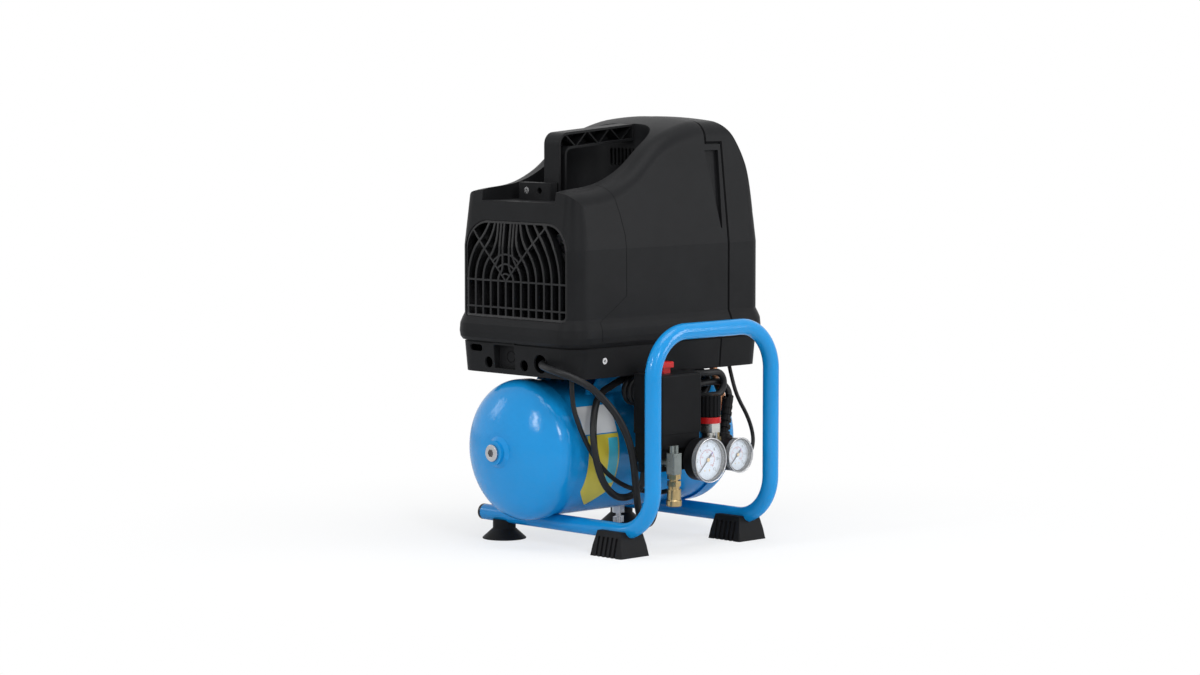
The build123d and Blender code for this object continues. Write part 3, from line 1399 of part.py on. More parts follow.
# Gauges: case with its stem, dial with the pointer's pin, pointer, clear cap
for name, gauge_x, gauge_z, gauge_r in gauges:
    gauge_axis = Axis((gauge_x, 0, gauge_z), (0, 1, 0))
    case_r = gauge_r - gauge_rim - seat_gap
    inner_r = case_r - gauge_case_wall
    lens_y = gauge_face_y + gauge_lens_thick
    needle_y = gauge_dial_y - gauge_dial_thick - needle_gap
    with BuildPart() as gauge_case:
        with BuildSketch(facing_front(gauge_x, gauge_z)):
            Polygon(
                (0, -manifold_front_y), (gauge_stem_r, -manifold_front_y), (gauge_stem_r, -gauge_back_y),
                (case_r - 3, -gauge_back_y), (case_r, 3 - gauge_back_y), (case_r, -lens_y),
                (inner_r, -lens_y),
                (inner_r, -gauge_dial_y), (0, -gauge_dial_y), align=None)
        revolve(axis=gauge_axis)
    gauge_case.part.label = f"{name}_case"
    export_step(gauge_case.part, f"parts/{name}_case.step")

    with BuildPart() as gauge_dial:
        with BuildSketch(facing_front(gauge_x, gauge_z)):
            Polygon(
                (0, -gauge_dial_y), (inner_r - seat_gap, -gauge_dial_y),
                (inner_r - seat_gap, gauge_dial_thick - gauge_dial_y),
                (needle_pin_r, gauge_dial_thick - gauge_dial_y),
                (needle_pin_r, needle_thick + needle_gap - needle_y),
                (0, needle_thick + needle_gap - needle_y),
                align=None)
        revolve(axis=gauge_axis)
    gauge_dial.part.label = f"{name}_dial"
    export_step(gauge_dial.part, f"parts/{name}_dial.step")

    with BuildPart() as gauge_needle:
        with BuildSketch(Plane.XZ.offset(-needle_y)):
            with Locations(Location((gauge_x, gauge_z, 0), (0, 0, needle_zero))):
                Polygon(
                    (-0.35 * inner_r, -1.1), (0, -0.9), (0.82 * inner_r, -0.25), (0.82 * inner_r, 0.25),
                    (0, 0.9), (-0.35 * inner_r, 1.1), align=None)
                Circle(needle_hub_r)
                Circle(needle_pin_r + run_gap, mode=Mode.SUBTRACT)
        extrude(amount=needle_thick)
    gauge_needle.part.label = f"{name}_needle"
    export_step(gauge_needle.part, f"parts/{name}_needle.step")

    with BuildPart() as gauge_lens:
        with BuildSketch(facing_front(gauge_x, gauge_z)):
            Polygon(
                (0, -lens_y), (gauge_r - gauge_rim, -lens_y),
                (gauge_r - gauge_rim, -gauge_face_y - gauge_cap_lap),
                (gauge_r, -gauge_face_y - gauge_cap_lap), (gauge_r, -gauge_face_y - 1),
                (gauge_r - 1, -gauge_face_y),
                (0, -gauge_face_y), align=None)
        revolve(axis=gauge_axis)
    gauge_lens.part.label = f"{name}_lens"
    export_step(gauge_lens.part, f"parts/{name}_lens.step")


def corner_radii(route):
    """The radius of each bend in a route: as wide as the shorter of its two runs allows."""
    radii = []
    for before, corner, after in zip(route, route[1:], route[2:]):
        run_in = Vector(corner) - Vector(before)
        run_out = Vector(after) - Vector(corner)
        turn = radians(run_in.get_angle(run_out))
        radii.append(0.45 * min(run_in.length, run_out.length) / tan(turn / 2))
    return radii


# Leads and hoses
cords = (
    ("motor_lead", motor_lead_route, lead_d),
    ("mains_lead", mains_lead_route, lead_d),
    ("pressure_hose", pressure_hose_route, hose_d),
    ("relief_hose", relief_hose_route, line_d),
)
for name, route, diameter in cords:
    radii = corner_radii(route)
    with BuildPart() as cord:
        with BuildLine() as run:
            FilletPolyline(*route, radius=radii)
        with BuildSketch(Plane(run.line @ 0, z_dir=run.line % 0)):
            Circle(diameter / 2)
        sweep(path=run.line)
    cord.part.label = name
    export_step(cord.part, f"parts/{name}.step")
    print(name, f"{sum(edge.length for edge in run.edges()):.0f} mm, least bend {min(radii):.1f} mm")


def hank_layer(right_x, grow):
    """One layer of the put-away turns: a long loop as deep and as wide as the lead, in the open sketch."""
    middle = ((hank_left_x + right_x) / 2, hank_z)
    with Locations(middle):
        SlotOverall(right_x - hank_left_x + 2 * grow, hank_height + 2 * grow)
        SlotOverall(
            right_x - hank_left_x - 2 * lead_d - 2 * grow, hank_height - 2 * lead_d - 2 * grow,
            mode=Mode.SUBTRACT)


def hank_body(grow):
    """The put-away turns of the mains lead, a long loop in front and shorter ones behind it."""
    with BuildPart() as body:
        with BuildSketch(Plane.XZ.offset(grow - hank_front_y)):
            hank_layer(hank_right_x, grow)
        extrude(amount=-lead_d - 2 * grow)
        with BuildSketch(Plane.XZ.offset(-hank_front_y - lead_d)):
            hank_layer(hank_right_x - hank_tuck, grow)
        extrude(amount=-hank_back_turns * lead_d - grow)
    return body.part


with BuildPart() as mains_hank:
    add(hank_body(0))
mains_hank.part.label = "mains_hank"
export_step(mains_hank.part, "parts/mains_hank.step")

# Plug: a ribbed boot, a round body and two pins, hanging from the last turn
plug_along = Vector(plug_tip) - Vector(plug_cord_end)
with BuildPart() as mains_plug:
    boot_length = plug_along.length - plug_body_length
    ring_step = boot_length / (2 * grip_rings)
    side_on = Plane(origin=plug_cord_end, x_dir=plug_along.cross(Vector(0, 1, 0)), z_dir=plug_along)
    with BuildSketch(side_on):
        Circle(boot_core_r)
    extrude(amount=plug_along.length)
    for k in range(grip_rings):
        with BuildSketch(side_on.offset((2 * k + 1) * ring_step)):
            Circle(grip_r * (0.75 + 0.25 * k / (grip_rings - 1)))
        extrude(amount=ring_step)
    with BuildSketch(side_on.offset(boot_length)):
        Circle(plug_body_r)
    extrude(amount=plug_body_length)
    fillet(mains_plug.edges().filter_by(GeomType.CIRCLE).filter_by(lambda e: e.radius > plug_body_r - 0.1), 3)
    with BuildSketch(side_on.offset(plug_along.length)):
        with GridLocations(2 * pin_spread, 1, 2, 1):
            Circle(pin_r)
    extrude(amount=pin_length)
    add(hank_body(seat_gap), mode=Mode.SUBTRACT)
mains_plug.part.label = "mains_plug"
export_step(mains_plug.part, "parts/mains_plug.step")
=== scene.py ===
# %% [markdown]
# # A portable air compressor
# The solids of this compressor come packed from CAD, and this lesson dresses them. The tank,
# cradle and housing already have the right shape, so they only need finishes. What CAD can't
# say well is made here: the cords as smooth curves, the strap on the coiled lead, the bare ends
# of the plug's pins, the print and trim of the two gauges, fine lines on the housing and blank
# stickers on the tank. Everything is in metres, in the CAD's own frame; only the cords' routes
# are written in millimetres.

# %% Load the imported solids
import math
from collections import namedtuple

import bmesh
import bpy
from mathutils import Matrix, Vector


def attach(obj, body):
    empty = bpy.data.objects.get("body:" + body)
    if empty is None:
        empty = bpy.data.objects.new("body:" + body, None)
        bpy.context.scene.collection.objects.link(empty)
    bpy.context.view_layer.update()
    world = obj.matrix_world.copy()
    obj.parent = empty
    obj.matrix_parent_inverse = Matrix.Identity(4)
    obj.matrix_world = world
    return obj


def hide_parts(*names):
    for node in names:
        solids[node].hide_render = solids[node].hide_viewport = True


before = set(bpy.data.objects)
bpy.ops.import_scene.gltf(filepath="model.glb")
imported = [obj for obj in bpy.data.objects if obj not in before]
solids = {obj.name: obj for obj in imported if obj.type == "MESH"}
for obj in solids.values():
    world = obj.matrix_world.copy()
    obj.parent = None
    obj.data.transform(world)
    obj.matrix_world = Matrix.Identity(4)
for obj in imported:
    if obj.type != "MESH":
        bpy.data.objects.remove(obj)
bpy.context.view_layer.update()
scene = bpy.context.scene
scene.view_settings.view_transform = "Standard"

# %% [markdown]
# ## The camera
# A long lens flattens the object, as in most catalogue pictures. The camera stands about four
# metres away at the front left corner, a little above the carrying handle, and looks about five
# degrees down. A Track To constraint would follow the object, but a plain direction is easier
# to read.

# %% Place the camera
camera = bpy.data.objects.new("camera", bpy.data.cameras.new("camera"))
scene.collection.objects.link(camera)
camera.data.lens = 99
camera.data.sensor_width = 36
camera.location = (-2.902156, -2.922723, 0.606)
heading, dip = math.radians(45.7), math.radians(4.876)
look = Vector((
    math.cos(heading) * math.cos(dip), math.sin(heading) * math.cos(dip), -math.sin(dip)))
camera.rotation_euler = look.to_track_quat("-Z", "Y").to_euler()
scene.camera = camera
print("camera looks along", [round(v, 3) for v in look])

# %% [markdown]
# ## The studio
# Black plastic and glossy paint are shown by what they mirror. The white behind the object is
# the world as the camera and the mirrors see it; the light that falls on the object stays plain.
# Light Path tells the two apart. Nodes are made by a small helper, because setting a socket
# takes a long line each time.

# %% Fill the studio with light
def set_sockets(node, **sockets):
    """Sets a node's inputs; a socket's name is written with _ for each space."""
    for socket, value in sockets.items():
        node.inputs[socket.replace("_", " ")].default_value = value


def add_node(tree, kind, operation=None, **sockets):
    """Adds a node to a tree and sets its inputs."""
    node = tree.nodes.new(kind)
    if operation:
        node.operation = operation
    set_sockets(node, **sockets)
    return node


world = bpy.data.worlds.new("studio")
scene.world = world
world.use_nodes = True
tree = world.node_tree
tree.nodes.clear()
path = add_node(tree, "ShaderNodeLightPath")
mirrored = add_node(tree, "ShaderNodeMath", "MAXIMUM")
tree.links.new(path.outputs["Is Glossy Ray"], mirrored.inputs[0])
tree.links.new(path.outputs["Is Transmission Ray"], mirrored.inputs[1])
seen = add_node(tree, "ShaderNodeMath", "MAXIMUM")
tree.links.new(path.outputs["Is Camera Ray"], seen.inputs[0])
tree.links.new(mirrored.outputs[0], seen.inputs[1])
soft = add_node(tree, "ShaderNodeBackground", Color=(0.9, 0.95, 1.0, 1), Strength=0.4)
white = add_node(tree, "ShaderNodeBackground", Color=(1, 1, 1, 1))
pick = add_node(tree, "ShaderNodeMixShader")
for socket, node in enumerate((seen, soft, white)):
    tree.links.new(node.outputs[0], pick.inputs[socket])
tree.links.new(pick.outputs[0], add_node(tree, "ShaderNodeOutputWorld").inputs[0])
print("world:", world.name)

# %% [markdown]
# A highlight on the round end of the tank tells where its lamp stands: half way between the eye
# and the lamp lies the surface's own direction. Three upright panels stand where the tank's three
# highlights ask for them, at the left, at the front and, weaker, at the back left. One overhead
# lights the tops of the tubes, and a broad one at the right lights the front walls.

# %% Hang the lamps
def hang_panel(name, place, aim_height, width, height, watts):
    """A soft lamp panel that faces a height on the middle of the object."""
    lamp = bpy.data.lights.new(name, "AREA")
    lamp.shape = "RECTANGLE"
    lamp.size, lamp.size_y, lamp.energy = width, height, watts
    panel = bpy.data.objects.new(name, lamp)
    scene.collection.objects.link(panel)
    panel.location = place
    aim = Vector((0, 0, aim_height)) - Vector(place)
    panel.rotation_euler = aim.to_track_quat("-Z", "Y").to_euler()


hang_panel("left_panel", (-2.45, 0.05, 1.4), 0.2, width=0.36, height=0.8, watts=17)
hang_panel("front_panel", (-1.15, -2.3, 1.5), 0.2, width=0.3, height=0.8, watts=18)
hang_panel("back_panel", (-1.4, 2.2, 1.1), 0.2, width=0.4, height=0.7, watts=4)
hang_panel("top_panel", (-0.2, -0.5, 2.3), 0.2, width=1.6, height=1.2, watts=25)
hang_panel("right_panel", (1.5, -2.2, 0.9), 0.25, width=0.8, height=1.2, watts=24)

# %% [markdown]
# The floor is a wide pale sheet that keeps a soft shadow under the feet. Away from the object it
# turns into plain white, by its distance from the middle, so its far edge can't be seen against
# the backdrop.

# %% Lay the floor
bm = bmesh.new()
bmesh.ops.create_grid(bm, x_segments=8, y_segments=8, size=6)
floor = bpy.data.objects.new("floor", bpy.data.meshes.new("floor"))
bm.to_mesh(floor.data)
bm.free()
scene.collection.objects.link(floor)
paper = bpy.data.materials.new("studio_paper")
paper.use_nodes = True
tree = paper.node_tree
shader = tree.nodes["Principled BSDF"]
set_sockets(shader, Base_Color=(0.92, 0.92, 0.92, 1), Roughness=0.9)
glow = add_node(tree, "ShaderNodeEmission", Color=(1, 1, 1, 1))
path = add_node(tree, "ShaderNodeLightPath")
place = add_node(tree, "ShaderNodeTexCoord")
reach = add_node(tree, "ShaderNodeVectorMath", "LENGTH")
tree.links.new(place.outputs["Object"], reach.inputs[0])
fade = add_node(tree, "ShaderNodeMapRange", From_Min=0.2, From_Max=0.75, To_Min=0.68)
fade.interpolation_type = "SMOOTHSTEP"
tree.links.new(reach.outputs["Value"], fade.inputs["Value"])
veil = add_node(tree, "ShaderNodeMath", "MULTIPLY")
tree.links.new(path.outputs["Is Camera Ray"], veil.inputs[0])
tree.links.new(fade.outputs["Result"], veil.inputs[1])
blend = add_node(tree, "ShaderNodeMixShader")
for socket, node in enumerate((veil, shader, glow)):
    tree.links.new(node.outputs[0], blend.inputs[socket])
tree.links.new(blend.outputs[0], tree.nodes["Material Output"].inputs["Surface"])
floor.data.materials.append(paper)
print("floor laid in", paper.name)

# %% [markdown]
# ## Finishes
# Every finish starts from one shader with its own colour and gloss. Two layers of noise do the
# rest: a broad one shifts the colour and the roughness a little, because no moulded or painted
# surface is even, and a fine one raises the grain. Object coordinates keep the grain the same
# size on all pieces. No real edge is sharp, so a bevel node bends the light over the last half
# millimetre or more at each edge.

# %% Make a finish
gloss_swing = 0.12


def make_finish(
        name, colour, rough, metal=0.0, spread=0.06, patch=14.0, grain=900.0, depth=0.00004,
        edge=0.0005, **sockets):
    """A finish with patches of gloss and colour, a fine raised grain and softly broken edges."""
    finish = bpy.data.materials.new(name)
    finish.use_nodes = True
    tree = finish.node_tree
    link = tree.links.new
    shader = tree.nodes["Principled BSDF"]
    set_sockets(shader, Metallic=metal, **sockets)
    place = add_node(tree, "ShaderNodeTexCoord")
    broad = add_node(tree, "ShaderNodeTexNoise", Scale=patch, Detail=4)
    link(place.outputs["Object"], broad.inputs["Vector"])
    tint = add_node(tree, "ShaderNodeValToRGB")
    dark, light = tint.color_ramp.elements
    dark.position, light.position = 0.3, 0.7
    dark.color = (*[c * (1 - spread) for c in colour], 1)
    light.color = (*[min(1, c * (1 + spread)) for c in colour], 1)
    link(broad.outputs["Fac"], tint.inputs["Fac"])
    link(tint.outputs["Color"], shader.inputs["Base Color"])
    gloss = add_node(
        tree, "ShaderNodeMapRange", To_Min=rough * (1 - gloss_swing),
        To_Max=rough * (1 + gloss_swing))
    link(broad.outputs["Fac"], gloss.inputs["Value"])
    link(gloss.outputs["Result"], shader.inputs["Roughness"])
    fine = add_node(tree, "ShaderNodeTexNoise", Scale=grain, Detail=2)
    link(place.outputs["Object"], fine.inputs["Vector"])
    rounded = add_node(tree, "ShaderNodeBevel", Radius=edge)
    rounded.samples = 4
    bump = add_node(tree, "ShaderNodeBump", Distance=depth)
    link(fine.outputs["Fac"], bump.inputs["Height"])
    link(rounded.outputs["Normal"], bump.inputs["Normal"])
    link(bump.outputs["Normal"], shader.inputs["Normal"])
    return finish


def dress(finish, *names):
    """Puts a finish on CAD solids."""
    for name in names:
        for slot in solids[name].material_slots:
            slot.material = finish


print("solids to dress:", len(solids))

# %% [markdown]
# The tank and its cradle share one coat of blue paint: a bright colour under a clear gloss, with
# the slight orange peel of a sprayed coat. The peel is a grain about four millimetres wide, far
# wider than the plastic's, with a bump of at most a quarter of a millimetre.

# %% Blue paint
blue_paint = make_finish(
    "blue_paint", (0.0062, 0.25, 0.6), 0.14, spread=0.05, patch=9, grain=260, depth=0.00026,
    Specular_IOR_Level=0.28)
dress(blue_paint, "cradle_frame", "tank_shell", "tank_head_left", "tank_head_right",
      "saddle_bracket")
print("painted:", blue_paint.name)

# %% [markdown]
# The housing is moulded in black plastic with an eroded grain, so its highlights are broad and
# grey. The grille is glossier. The switch, the regulator and the gauge cases are a smoother
# black, and the rubber parts a duller one.

# %% Black plastics and rubber
black_moulding = make_finish(
    "black_moulding", (0.0118, 0.012, 0.0128), 0.42, spread=0.12, patch=22, grain=1500,
    depth=0.00012, edge=0.0009, Specular_IOR_Level=0.065)
dress(black_moulding, "base_tray", "main_cowl", "end_cowl", "carry_handle")
grille_black = make_finish(
    "grille_black", (0.0075, 0.0076, 0.0082), 0.2, spread=0.12, patch=30, grain=1100,
    depth=0.00002, edge=0.0011, Specular_IOR_Level=0.32)
dress(grille_black, "fan_grille", "cooling_fan", "rail_end_caps")
satin_black = make_finish(
    "satin_black", (0.008, 0.0081, 0.0088), 0.34, spread=0.12, patch=30, grain=1300,
    depth=0.00005, edge=0.0009, Specular_IOR_Level=0.055)
dress(satin_black, "manifold", "switch_base", "switch_cover", "regulator_knob",
      "tank_gauge_case", "line_gauge_case", "mains_plug")
black_rubber = make_finish(
    "black_rubber", (0.0115, 0.0116, 0.0123), 0.55, spread=0.14, patch=40, grain=700,
    depth=0.00008, edge=0.0008, Specular_IOR_Level=0.09)
dress(black_rubber, "front_foot_left", "front_foot_right", "suction_foot_left",
      "suction_foot_right", "motor_mounts")
print("black finishes:", black_moulding.name, grille_black.name, satin_black.name,
      black_rubber.name)

# %% [markdown]
# The red button and the regulator's locking ring are the only warm spots on the plastic. Real
# plastic lets a little light in below its surface, but on pieces this small a plain surface
# looks the same and renders faster.

# %% Red plastic
red_plastic = make_finish(
    "red_plastic", (0.5, 0.011, 0.012), 0.34, spread=0.06, patch=60, grain=900, depth=0.00003,
    Specular_IOR_Level=0.25)
dress(red_plastic, "switch_button", "regulator_ring")
print("red:", red_plastic.name)

# %% [markdown]
# Turned metal shows fine rings from the lathe, and cast metal a coarse skin. On parts this small
# both only break up the gloss, so each metal is the common finish with its own grain instead of
# a pattern of rings.

# %% Metals
brass = make_finish(
    "brass", (0.36, 0.27, 0.135), 0.28, metal=1.0, spread=0.12, patch=60, grain=1600,
    depth=0.00003)
dress(brass, "check_valve", "safety_valve", "coupler_body", "coupler_sleeve")
bright_steel = make_finish(
    "bright_steel", (0.5, 0.5, 0.51), 0.24, metal=1.0, spread=0.08, patch=60, grain=1500,
    depth=0.00002)
dress(bright_steel, "tank_plugs", "housing_screws", "drain_valve", "drain_screw", "motor_shaft",
      "shaft_bearings", "head_bolts", "valve_plate")
plated_zinc = make_finish(
    "plated_zinc", (0.17, 0.19, 0.185), 0.28, metal=1.0, spread=0.12, patch=70, grain=1200,
    depth=0.00004)
dress(plated_zinc, "outlet_block")
bright_nickel = make_finish(
    "bright_nickel", (0.46, 0.46, 0.44), 0.22, metal=1.0, spread=0.1, patch=70, grain=1200,
    depth=0.00003)
dress(bright_nickel, "regulator_body")
copper = make_finish(
    "copper", (0.75, 0.36, 0.2), 0.28, metal=1.0, spread=0.15, patch=40, grain=900,
    depth=0.00003)
dress(copper, "delivery_pipe")
cast_alloy = make_finish(
    "cast_alloy", (0.5, 0.51, 0.52), 0.5, metal=1.0, spread=0.1, patch=40, grain=800,
    depth=0.0001)
dress(cast_alloy, "rear_end_shield", "crankcase", "connecting_rod", "cylinder_sleeve",
      "cylinder_head")
bare_iron = make_finish(
    "bare_iron", (0.2, 0.2, 0.21), 0.5, metal=1.0, spread=0.15, patch=50, grain=900)
dress(bare_iron, "motor_stator", "motor_rotor", "crank_eccentric")
print("metals:", brass.name, bright_steel.name, plated_zinc.name, bright_nickel.name,
      copper.name, cast_alloy.name, bare_iron.name)

# %% [markdown]
# The gauges have white printed dials under clear caps. A cap is thin, so a mostly see-through
# surface with a sharp gloss reads better, and renders faster, than thick glass.

# %% Gauge finishes
dial_white = make_finish(
    "dial_white", (0.73, 0.81, 0.91), 0.45, spread=0.01, grain=1500, depth=0.00001)
dress(dial_white, "tank_gauge_dial", "line_gauge_dial")
pointer_black = make_finish(
    "pointer_black", (0.012, 0.012, 0.016), 0.35, spread=0.05, grain=1500, depth=0.00001)
dress(pointer_black, "tank_gauge_needle", "line_gauge_needle")
clear_cap = make_finish(
    "clear_cap", (0.93, 0.95, 0.97), 0.04, spread=0.01, grain=200, depth=0.00001, Alpha=0.14)
dress(clear_cap, "tank_gauge_lens", "line_gauge_lens")
print("gauge finishes:", dial_white.name, pointer_black.name, clear_cap.name)

# %% [markdown]
# ## New pieces
# Small things that CAD leaves out are drawn with bmesh. Each ends the same way: its doubles are
# merged, its faces turned outwards, and it is told which body carries it and which finish it
# belongs to.

# %% Turn a mesh into a piece
def finish_piece(name, bm, finish, body="compressor"):
    """Turns a bmesh into a piece that rides on a body."""
    bmesh.ops.remove_doubles(bm, verts=bm.verts, dist=1e-6)
    bmesh.ops.recalc_face_normals(bm, faces=bm.faces)
    piece = bpy.data.objects.new(name, bpy.data.meshes.new(name))
    bm.to_mesh(piece.data)
    bm.free()
    scene.collection.objects.link(piece)
    piece.data.materials.append(finish)
    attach(piece, body)
    return piece


def corners_of(geometry):
    """The vertices in what an operator returns."""
    return [item for item in geometry if isinstance(item, bmesh.types.BMVert)]


# %% [markdown]
# ## Cords
# A cord is one smooth curve with a round section. The points are the corners of its route, in
# millimetres, and a quadratic spline cuts inside them as a stiff cable does. With its bevel taken
# off for a moment, the same curve gives its own length.

# %% Make a cord
cord_rubber = make_finish(
    "cord_rubber", (0.0095, 0.0097, 0.0106), 0.4, spread=0.12, patch=50, grain=900,
    depth=0.00005, Specular_IOR_Level=0.2)


def lay_cord(name, route, diameter, *stands_for):
    """One smooth cord through a route given in millimetres."""
    curve = bpy.data.curves.new(name, "CURVE")
    curve.dimensions = "3D"
    curve.bevel_depth = 1
    curve.bevel_resolution = 5
    curve.use_fill_caps = True
    spline = curve.splines.new("NURBS")
    spline.points.add(len(route) - 1)
    for point, (x, y, z) in zip(spline.points, route):
        point.co = (x / 1000, y / 1000, z / 1000, 1)
        point.radius = diameter / 2
    spline.order_u = 3
    spline.use_endpoint_u = True
    spline.resolution_u = 10
    cord = bpy.data.objects.new(name, curve)
    scene.collection.objects.link(cord)
    curve.materials.append(cord_rubber)
    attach(cord, "compressor")
    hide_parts(*stands_for)
    return cord


def line_length(cord):
    """The length of a cord's centre line, in metres."""
    cord.data.bevel_depth = 0
    depsgraph = bpy.context.evaluated_depsgraph_get()
    line = bpy.data.meshes.new_from_object(cord.evaluated_get(depsgraph))
    cord.data.bevel_depth = 1
    ends = [v.co.copy() for v in line.vertices]
    bpy.data.meshes.remove(line)
    return sum((b - a).length for a, b in zip(ends, ends[1:]))


print("cords are made of", cord_rubber.name)

# %% [markdown]
# The motor's lead comes out of the tray's end, swings down in front of the tank and up into the
# switch. A simulation could hang it, but listed points keep it clear of the tank and of
# the cradle.

# %% Lay the motor lead
motor_route = (
    (-138, 2, 233), (-152, -4, 232), (-163.5, -14.5, 231), (-170.5, -32, 229), (-171, -50, 226),
    (-163, -66, 220.5), (-146, -82, 209), (-122, -92, 184), (-101, -94, 157), (-85, -92, 127),
    (-77, -89, 95), (-73, -88, 68), (-67, -86, 47), (-58, -84, 33), (-44, -82.5, 32),
    (-36, -82, 45), (-35.5, -81.5, 64), (-37, -81, 82), (-37, -81, 98))
motor_cord = lay_cord("motor_cord", motor_route, 0.009, "motor_lead")
length = line_length(motor_cord)
print("motor lead", round(length * 1000), "mm")

# %% [markdown]
# The mains lead leaves the switch beside it, loops up at the left and is wound into a long hank
# under the tray. Each turn lies one cord's width in front of the last, and a turn moves forward
# along its lower run, so no strand passes through another. The last one passes behind the third
# turn's end and goes into the plug.

# %% Wind the mains lead
def half_turn(x, y, z, radius, start, step=30):
    """The hank's corners round one of its ends, clockwise from an angle in degrees."""
    reach = radius / math.cos(math.radians(step / 2))
    degrees = range(start + step // 2, start - 180 - step, -step)
    angles = [math.radians(angle) for angle in degrees]
    return [(x + reach * math.cos(a), y, z + reach * math.sin(a)) for a in angles]


strand, bend, left_end, right_end = 9.0, 15, -39.5, 77.5
upper_run, lower_run, run_middle = 210, 180, 195
mains_route = [
    (-54, -81, 98), (-54, -81, 84), (-64, -74, 68), (-86, -70, 66), (-106, -68, 80),
    (-119, -67, 106), (-124, -64, 137), (-115, -55, 168), (-93, -41, 193), (-66, -40, 203),
    (-45, -39.9, upper_run), (-15, -39.9, upper_run)]
for depth in (-39.9, -48.9):
    front = depth - strand
    mains_route += [
        (20, depth, upper_run), (55, depth, upper_run),
        *half_turn(right_end, depth, run_middle, bend, start=90),
        (55, depth, lower_run), (35, depth - 1.5, lower_run), (0, depth - 7.5, lower_run),
        (-20, front, lower_run), *half_turn(left_end, front, run_middle, bend, start=270)]
mains_route += [
    (20, -57.9, upper_run), (40, -59.4, upper_run), (68, -66.9, upper_run),
    *half_turn(88, -66.9, 195.5, 14.5, start=90),
    (60, -66.9, 180.5), (20, -66.9, lower_run), (-20, -66.9, lower_run),
    *half_turn(left_end, -66.9, run_middle, bend, start=270),
    (-28, -66.9, upper_run), (-10, -66.9, 206), (8, -66.9, 199.5), (25, -66.9, 196),
    (40, -65.6, 195.5), (62, -59.4, 196), (80, -58, 196.5), (96.5, -57.8, 196.6),
    (103, -57.8, 196.5), (108.7, -59.3, 193.4), (112.2, -63.2, 188), (112.8, -66.6, 181.5),
    (111.5, -67.5, 178.5)]
mains_cord = lay_cord("mains_cord", mains_route, 0.0088, "mains_lead", "mains_hank")
length = line_length(mains_cord)
print("mains lead", round(length * 1000), "mm")

# %% [markdown]
# The plug's two pins are sleeved at the root and bare at the end. The bare ends are turned pins
# with a rounded tip, set along the plug's own axis, which runs from the lead's end to the middle
# of its face.

# %% Tip the plug's pins
plug_face, cord_end = Vector((0.080, -0.082, 0.104)), Vector((0.1115, -0.0675, 0.1785))
plug_way = (plug_face - cord_end).normalized()
pin_row = plug_way.cross(Vector((0, 1, 0))).normalized()
along_pin = plug_way.to_track_quat("Z", "Y").to_matrix().to_4x4()
pin_offset, pin_radius = 0.0095, 0.00245
tip_middle, tip_length, tip_round = 0.0115, 0.0092, 0.0012
bm = bmesh.new()
for side in (-1, 1):
    middle = plug_face + pin_row * side * pin_offset + plug_way * tip_middle
    bmesh.ops.create_cone(
        bm, cap_ends=True, segments=24, radius1=pin_radius, radius2=pin_radius,
        depth=tip_length, matrix=Matrix.Translation(middle) @ along_pin)
rims = [
    edge for edge in bm.edges if edge.calc_face_angle() > 1
    and (edge.verts[0].co - plug_face).dot(plug_way) > tip_middle]
bmesh.ops.bevel(
    bm, geom=rims, offset=tip_round, segments=4, profile=0.5, affect="EDGES", material=-1)
pin_tips = finish_piece("plug_pin_tips", bm, brass)
print("pin tips:", len(pin_tips.data.polygons), "faces")

# %% [markdown]
# Two thinner hoses carry air out of the tray's underside. One hangs at the left and comes up into
# the manifold from below. The other comes down at the right and ends in the manifold's right end.
# Each hangs in one easy curve.

# %% Run the two hoses
pressure_route = (
    (-137, -40, 216), (-139, -42, 192), (-135, -45, 167), (-122, -48, 138), (-105, -51, 111),
    (-83, -54, 90), (-58, -56, 76), (-35, -60, 70), (-22, -77, 68), (-20, -96, 73),
    (-20, -102, 86), (-20, -102, 100))
relief_route = (
    (130, -50, 216), (130, -56, 196), (132, -63, 175), (141, -74, 149), (140, -84, 126),
    (130, -91, 110), (110, -99, 106), (88, -103, 110), (66, -103, 110))
for name, route, diameter in (
        ("pressure_hose", pressure_route, 0.006), ("relief_hose", relief_route, 0.005)):
    hose = lay_cord(f"{name}_line", route, diameter, name)
    length = line_length(hose)
    print(name, round(length * 1000), "mm")

# %% [markdown]
# ## The strap on the hank
# A short rubber strap keeps the turns together and hangs them from the tray. It is a closed band:
# a rounded outline drawn round the hank, given a width along the hank and a wall.

# %% Tie the hank
strap_place, strap_height, strap_depth = (0.030, -0.0534, 0.1951), 0.0396, 0.0384
strap_width, strap_wall, strap_corner = 0.012, 0.0012, 0.005
bm = bmesh.new()
bmesh.ops.create_grid(
    bm, x_segments=1, y_segments=1, size=0.5,
    matrix=Matrix.Translation(strap_place) @ Matrix.Rotation(math.pi / 2, 4, "Y")
    @ Matrix.Diagonal((strap_height, strap_depth, 1, 1)))
bmesh.ops.bevel(
    bm, geom=bm.verts[:], offset=strap_corner, segments=6, profile=0.5, affect="VERTICES",
    material=-1)
outline = bm.edges[:]
bmesh.ops.delete(bm, geom=bm.faces[:], context="FACES_ONLY")
band = bmesh.ops.extrude_edge_only(bm, edges=outline)["geom"]
bmesh.ops.translate(bm, verts=corners_of(band), vec=(strap_width, 0, 0))
bmesh.ops.recalc_face_normals(bm, faces=bm.faces)
bmesh.ops.solidify(bm, geom=bm.faces[:], thickness=-strap_wall)
hank_strap = finish_piece("hank_strap", bm, black_rubber)
print("strap faces:", len(hank_strap.data.polygons))

# %% [markdown]
# ## The gauge dials
# Each dial has a scale of short and long strokes round three quarters of a turn, numbers, and a
# red inner scale for the second unit with a thin band along it. A stroke is a small flat face
# turned into place, and the band is a short edge spun along the scale. The print lies less than
# a tenth of a millimetre in front of the dial.

